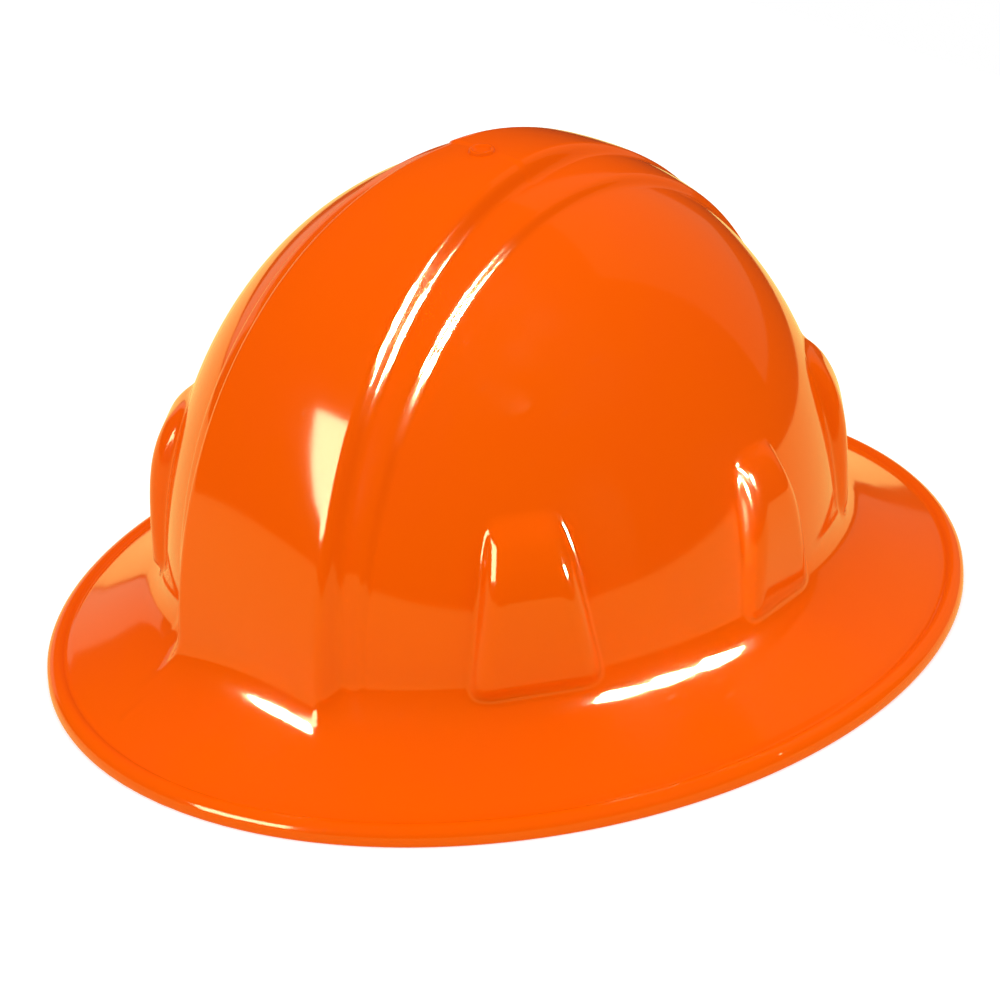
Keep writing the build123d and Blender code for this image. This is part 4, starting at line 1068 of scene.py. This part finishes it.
def studioLamps():
    # the soft lamps, then every card with its power worked out from its brightness and size
    for name, turn, rise, distance, width, height, watts in softLamps:
        lamp = studioLamp(
            name, studioValues["lampAim"], turn, rise, 0.0, distance, width, height, watts, 180.0)
        lamp.visible_glossy = False
    fanned = [(name, aim, *way, 0.0, *fanCard.values()) for name, aim, ways in cardFans for way in ways]
    for name, aim, turn, rise, roll, distance, width, height, bright, spread in glossCards + fanned:
        watts = bright * math.pi * width * height
        place = [c * mm for c in aim]
        lamp = studioLamp(name, place, turn, rise, roll, distance, width, height, watts, spread)
        lamp.visible_diffuse = False
        lamp.data.color = cardWarmth.get(name, (1.0, 1.0, 1.0))


bpy.context.scene.view_settings.view_transform = "Standard"
studioWorld()
studioFloor()
studioLamps()

print("stage: finishes")
shellFinish = {"color": (0.97, 0.112, 0.0, 1.0), "rough": 0.075, "ior": 1.5, "tint": (1.0, 0.84, 0.44, 1.0)}


def newMaterial(name, color, rough, metal=0.0):
    # a material with its Principled shader set to the colour, roughness and metal share
    material = bpy.data.materials.new(name)
    material.use_nodes = True
    tree = material.node_tree
    bsdf = tree.nodes["Principled BSDF"]
    bsdf.location = (700, 0)
    tree.nodes["Material Output"].location = (1000, 0)
    bsdf.inputs["Base Color"].default_value = color
    bsdf.inputs["Roughness"].default_value = rough
    bsdf.inputs["Metallic"].default_value = metal
    return material, tree, bsdf


def effectGroup(name, inputs, outputs):
    # a shader node group with its named inputs, their first values, and its named outputs
    group = bpy.data.node_groups.new(name, "ShaderNodeTree")
    for title, value in inputs:
        kind = "NodeSocketVector" if isinstance(value, tuple) else "NodeSocketFloat"
        group.interface.new_socket(name=title, in_out="INPUT", socket_type=kind).default_value = value
    for title in outputs:
        group.interface.new_socket(name=title, in_out="OUTPUT", socket_type="NodeSocketFloat")
    given = addNode(group, "NodeGroupInput", -1100).outputs
    put = addNode(group, "NodeGroupOutput", 800).inputs
    return group, given, put


def stretchedNoise(group, given, x=-700):
    # noise read at the coordinates times the stretch
    stretched = addNode(group, "ShaderNodeVectorMath", x - 200)
    stretched.operation = "MULTIPLY"
    noise = addNode(group, "ShaderNodeTexNoise", x)
    linkNodes(group, [
        (given["Coordinates"], stretched.inputs[0]), (given["Stretch"], stretched.inputs[1]),
        (stretched.outputs[0], noise.inputs["Vector"]), (given["Scale"], noise.inputs["Scale"]),
        (given["Detail"], noise.inputs["Detail"]), (given["Breakup"], noise.inputs["Roughness"]),
    ])
    return noise.outputs["Fac"]


noiseInputs = [
    ("Coordinates", (0.0, 0.0, 0.0)), ("Stretch", (1.0, 1.0, 1.0)), ("Scale", 60.0), ("Detail", 3.0),
    ("Breakup", 0.5),
]


def wearGroup():
    # rubbed patches, scuffs or scratches: noise cut between two levels, rising from none to full
    group, given, put = effectGroup("wearMask", noiseInputs + [("Low", 0.35), ("High", 0.7)], ["Mask"])
    cut = addNode(group, "ShaderNodeMapRange", -300)
    linkNodes(group, [
        (stretchedNoise(group, given), cut.inputs["Value"]), (given["Low"], cut.inputs["From Min"]),
        (given["High"], cut.inputs["From Max"]), (cut.outputs["Result"], put["Mask"]),
    ])
    return group


def grainGroup():
    # moulded grain, ripple or turning marks: noise times its depth, as a height in metres
    group, given, put = effectGroup("surfaceGrain", noiseInputs + [("Depth", 0.00002)], ["Height"])
    height = mathNode(group, "MULTIPLY", stretchedNoise(group, given), given["Depth"], x=-300)
    group.links.new(height, put["Height"])
    return group


def weaveGroup():
    # woven tape: chevron ribs slant to both sides of four spines, crossed by fine warp threads and loose
    # fibres, with plain edges, and painted shade that darkens the weave where it lies lower
    group, given, put = effectGroup("tapeWeave", [
        ("Coordinates", (0.0, 0.0, 0.0)), ("Half Width", 0.0081), ("Rib", 0.0011), ("Thread", 0.0008),
        ("Spine", 0.0024), ("Tape", 0.0195),
    ], ["Height", "Painted Groove Shade", "Edge", "Fibres"])
    split = addNode(group, "ShaderNodeSeparateXYZ", -950)
    noise = addNode(group, "ShaderNodeTexNoise", -500, -400)
    noise.inputs["Scale"].default_value = 3200.0
    linkNodes(group, [
        (given["Coordinates"], split.inputs[0]), (given["Coordinates"], noise.inputs["Vector"]),
    ])
    along, over = split.outputs["X"], split.outputs["Y"]
    fromEdge = mathNode(group, "MULTIPLY_ADD", given["Tape"], 0.5, over, x=-800, y=-100)
    zigzag = mathNode(group, "PINGPONG", fromEdge, given["Spine"], x=-650, y=-100)
    slant = mathNode(group, "ADD", along, zigzag, x=-500)
    waves = []
    for place, pitch, y in ((slant, given["Rib"], 0), (over, given["Thread"], -200)):
        turns = mathNode(group, "DIVIDE", place, pitch, x=-400, y=y)
        angle = mathNode(group, "MULTIPLY", turns, 2 * math.pi, x=-300, y=y)
        waves.append(mathNode(group, "SINE", angle, x=-200, y=y))
    height = mathNode(group, "MULTIPLY_ADD", waves[1], 0.35, waves[0], x=-50)
    height = mathNode(group, "MULTIPLY_ADD", noise.outputs["Fac"], 0.8, height, x=100)
    outward = mathNode(group, "ABSOLUTE", over, x=-300, y=-600)
    linkNodes(group, [
        # the lower the weave, the nearer the dark colour: painted shade in its grooves, mixed with the fibre
        # noise
        (height, put["Height"]), (mapRange(group, height, -1.2, 1.6, 1.0, 0.0, x=300), put["Painted Groove Shade"]),
        (mathNode(group, "GREATER_THAN", outward, given["Half Width"], x=-100, y=-600), put["Edge"]),
        (noise.outputs["Fac"], put["Fibres"]),
    ])
    return group


effects = {"wear": wearGroup(), "grain": grainGroup(), "weave": weaveGroup()}


def placeEffect(tree, effect, coords, x=-600, y=0, **values):
    # one of the groups above in a material's tree, fed with coordinates and its own values
    node = tree.nodes.new("ShaderNodeGroup")
    node.node_tree = effects[effect]
    node.location = (x, y)
    tree.links.new(coords, node.inputs["Coordinates"])
    for title, value in values.items():
        node.inputs[title.replace("_", " ")].default_value = value
    return node.outputs


def shellMaterial():
    # injection moulded and glossy: a faint flow ripple, hairline scratches and dull handling marks
    v = shellFinish
    material, tree, bsdf = newMaterial("mouldedOrange", v["color"], v["rough"])
    bsdf.inputs["IOR"].default_value = v["ior"]
    bsdf.inputs["Specular Tint"].default_value = v["tint"]
    coords = addNode(tree, "ShaderNodeTexCoord", -1100).outputs["Object"]
    ripple = placeEffect(tree, "grain", coords, y=500, Scale=14.0, Detail=1.0, Depth=0.00006)["Height"]
    grain = placeEffect(tree, "grain", coords, y=200, Scale=900.0, Detail=2.0, Depth=0.0000012)["Height"]
    rub = placeEffect(tree, "wear", coords, y=-100, Scale=22.0, Detail=4.0, Breakup=0.62, Low=0.3,
                      High=0.75)["Mask"]
    hair = placeEffect(tree, "wear", coords, y=-400, Stretch=(1.0, 9.0, 2.0), Breakup=0.7, Low=0.66,
                       High=0.70)["Mask"]
    rough = mapRange(tree, rub, 0.1, 1.0, v["rough"] * 0.75, v["rough"] * 1.6, y=-300)
    rough = mathNode(tree, "MULTIPLY_ADD", hair, 0.06, rough, x=100, y=-300)
    tree.links.new(rough, bsdf.inputs["Roughness"])
    warm = (v["color"][0], v["color"][1] * 0.93, v["color"][2], 1.0)
    tree.links.new(mixColors(tree, rub, v["color"], warm), bsdf.inputs["Base Color"])
    height = mathNode(tree, "ADD", ripple, grain, x=0, y=-500)
    height = mathNode(tree, "MULTIPLY_ADD", hair, 0.000002, height, x=200, y=-500)
    tree.links.new(bumpNode(tree, height, 1.0, 1.0), bsdf.inputs["Normal"])
    return material


def plasticMaterial(name, color, rough=0.38, grain=1400.0, grainDepth=0.0000175, scuff=0.12):
    # moulded plastic: fine spark-eroded grain, uneven sheen and a few paler scuffs
    material, tree, bsdf = newMaterial(name, color, rough)
    coords = addNode(tree, "ShaderNodeTexCoord", -1100).outputs["Object"]
    fine = placeEffect(tree, "grain", coords, Scale=grain, Detail=2.0, Depth=grainDepth)["Height"]
    broad = placeEffect(tree, "wear", coords, y=-300, Breakup=0.6, Low=0.3, High=0.7)["Mask"]
    scuffs = placeEffect(tree, "wear", coords, y=300, Stretch=(1.0, 1.0, 3.0), Scale=160.0, Detail=5.0,
                         Breakup=0.7, Low=0.62, High=0.72)["Mask"]
    pale = tuple(min(1.0, c * 1.25 + 0.05) for c in color[:3]) + (1.0,)
    amount = mathNode(tree, "MULTIPLY", scuffs, scuff, x=0, y=300)
    tree.links.new(mixColors(tree, amount, color, pale), bsdf.inputs["Base Color"])
    tree.links.new(mapRange(tree, broad, 0.0, 1.0, rough * 0.8, rough * 1.25, y=-300),
                   bsdf.inputs["Roughness"])
    tree.links.new(bumpNode(tree, fine, 1.0, 1.0), bsdf.inputs["Normal"])
    return material


def webbingMaterial(name, color, dark):
    # woven tape, read in the tape's own UV map
    material, tree, bsdf = newMaterial(name, color, 0.72)
    bsdf.inputs["Sheen Weight"].default_value = 0.25
    bsdf.inputs["Sheen Roughness"].default_value = 0.5
    weave = placeEffect(tree, "weave", addNode(tree, "ShaderNodeTexCoord", -1000).outputs["UV"])
    # mixed toward the dark colour where the weave lies lower: painted shade in its grooves
    woven = mixColors(tree, weave["Painted Groove Shade"], color, dark, x=300, y=200)
    tree.links.new(mixColors(tree, weave["Edge"], woven, dark, x=500, y=200), bsdf.inputs["Base Color"])
    tree.links.new(mapRange(tree, weave["Fibres"], 0.3, 0.7, 0.62, 0.85, x=200, y=-100),
                   bsdf.inputs["Roughness"])
    tree.links.new(bumpNode(tree, weave["Height"], 0.8, 0.00016), bsdf.inputs["Normal"])
    return material


def padMaterial(name, color, holes):
    # soft sweat-band skin: leather-like creases, rows of small pierced holes, each painted dark as painted
    # shade inside it
    material, tree, bsdf = newMaterial(name, color, 0.62)
    uv = addNode(tree, "ShaderNodeTexCoord", -1300).outputs["UV"]
    split = addNode(tree, "ShaderNodeSeparateXYZ", -1100, 0)
    tree.links.new(uv, split.inputs[0])
    steps = []
    for output, y in ((split.outputs["X"], 0), (split.outputs["Y"], -200)):
        share = mathNode(tree, "FRACT", mathNode(tree, "MULTIPLY", output, 1 / holes, x=-900, y=y),
                         x=-750, y=y)
        off = mathNode(tree, "SUBTRACT", share, 0.5, x=-600, y=y)
        steps.append(mathNode(tree, "POWER", off, 2.0, x=-450, y=y))
    spread = mathNode(tree, "SQRT", mathNode(tree, "ADD", steps[0], steps[1], x=-300), x=-150)
    hole = mapRange(tree, spread, 0.13, 0.19, 1.0, 0.0, x=0, y=-100)
    inside = mathNode(tree, "LESS_THAN", mathNode(tree, "ABSOLUTE", split.outputs["Y"], x=-300, y=-400),
                      0.0066, x=-150, y=-400)
    hole = mathNode(tree, "MULTIPLY", hole, inside, x=150, y=-200)
    skin = addNode(tree, "ShaderNodeTexVoronoi", -800, 300)
    skin.feature = "DISTANCE_TO_EDGE"
    skin.inputs["Scale"].default_value = 1300.0
    tree.links.new(uv, skin.inputs["Vector"])
    crease = mapRange(tree, skin.outputs["Distance"], 0.0, 0.12, 0.0, 1.0, x=-500, y=300)
    mottling = placeEffect(tree, "wear", uv, x=-800, y=500, Scale=260.0)["Mask"]
    paler = tuple(min(1.0, c * 1.5 + 0.01) for c in color[:3]) + (1.0,)
    # the holes' dark colour is painted shade inside each hole
    paintedHoleShade = tuple(c * 0.25 for c in color[:3]) + (1.0,)
    worn = mathNode(tree, "MULTIPLY", mottling, 0.5, x=0, y=500)
    shade = mixColors(tree, worn, color, paler, x=200, y=400)
    tree.links.new(mixColors(tree, hole, shade, paintedHoleShade, x=400, y=300), bsdf.inputs["Base Color"])
    tree.links.new(mapRange(tree, mottling, 0.0, 1.0, 0.54, 0.72, x=200, y=0), bsdf.inputs["Roughness"])
    height = mathNode(tree, "MULTIPLY", crease, 0.00004, x=100, y=-400)
    height = mathNode(tree, "MULTIPLY_ADD", hole, -0.00032, height, x=250, y=-400)
    tree.links.new(bumpNode(tree, height, 1.0, 1.0), bsdf.inputs["Normal"])
    return material


def steelMaterial():
    # zinc-plated steel: turning marks and small dull spots
    bright, dulled = (0.62, 0.61, 0.59, 1.0), (0.40, 0.39, 0.36, 1.0)
    material, tree, bsdf = newMaterial("platedSteel", bright, 0.28, 1.0)
    coords = addNode(tree, "ShaderNodeTexCoord", -1100).outputs["Object"]
    marks = placeEffect(tree, "grain", coords, Stretch=(1.0, 1.0, 12.0), Scale=700.0, Breakup=0.6,
                        Depth=0.000012)["Height"]
    spots = placeEffect(tree, "wear", coords, y=-300, Scale=240.0, Detail=4.0, Breakup=0.6)["Mask"]
    tree.links.new(mapRange(tree, spots, 0.0, 1.0, 0.2, 0.45, y=-300), bsdf.inputs["Roughness"])
    dull = mapRange(tree, spots, 0.4, 1.0, 0.0, 0.6, y=200)
    tree.links.new(mixColors(tree, dull, bright, dulled), bsdf.inputs["Base Color"])
    tree.links.new(bumpNode(tree, marks, 1.0, 1.0), bsdf.inputs["Normal"])
    return material


finishes = {
    "shell": shellMaterial(),
    "key": plasticMaterial("keyNylon", (0.055, 0.056, 0.060, 1.0), 0.42),
    "hoop": plasticMaterial("hoopPlastic", (0.040, 0.041, 0.044, 1.0), 0.46, 1100.0),
    "rack": plasticMaterial("rackPlastic", (0.050, 0.051, 0.054, 1.0), 0.36, 1500.0),
    "housing": plasticMaterial("housingPlastic", (0.034, 0.034, 0.037, 1.0), 0.40, 1200.0),
    "knob": plasticMaterial("knobPlastic", (0.030, 0.030, 0.033, 1.0), 0.48, 800.0, 0.000028, 0.2),
    "acetal": plasticMaterial("pinionAcetal", (0.72, 0.71, 0.68, 1.0), 0.30, 1600.0, 0.00001, 0.05),
    "steel": steelMaterial(),
    "webbing": webbingMaterial("wovenTape", (0.20, 0.205, 0.215, 1.0), (0.055, 0.057, 0.062, 1.0)),
    "patch": webbingMaterial("wovenPatch", (0.10, 0.10, 0.105, 1.0), (0.03, 0.03, 0.032, 1.0)),
    "thread": plasticMaterial("sewingThread", (0.42, 0.42, 0.43, 1.0), 0.6, 3000.0, 0.00001, 0.1),
    "pad": padMaterial("sweatBand", (0.030, 0.031, 0.034, 1.0), 0.0032),
}

dressed = [
    ("shell", (hatShell, gateRing)), ("webbing", straps), ("patch", (crownPatch,)),
    ("thread", (hatThreads, browThreads, napeThreads)), ("pad", (browCushion, napeCushion)),
]
for finish, pieces in dressed:
    for piece in pieces:
        piece.data.materials.clear()
        piece.data.materials.append(finishes[finish])
nodeFinishes = {
    "headband": "hoop", "rack_strap_left": "rack", "rack_strap_right": "rack", "ratchet_housing": "housing",
    "ratchet_cover": "housing", "ratchet_pinion": "acetal", "ratchet_knob": "knob", "knob_screw": "steel",
    "pawl_ring": "steel", "temple_pin_left": "acetal", "temple_pin_right": "acetal",
}
for row in ("front", "middle", "rear"):
    for hand in ("left", "right"):
        nodeFinishes["key_" + row + "_" + hand] = "key"
for node, finish in nodeFinishes.items():
    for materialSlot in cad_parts[node].material_slots:
        materialSlot.material = finishes[finish]
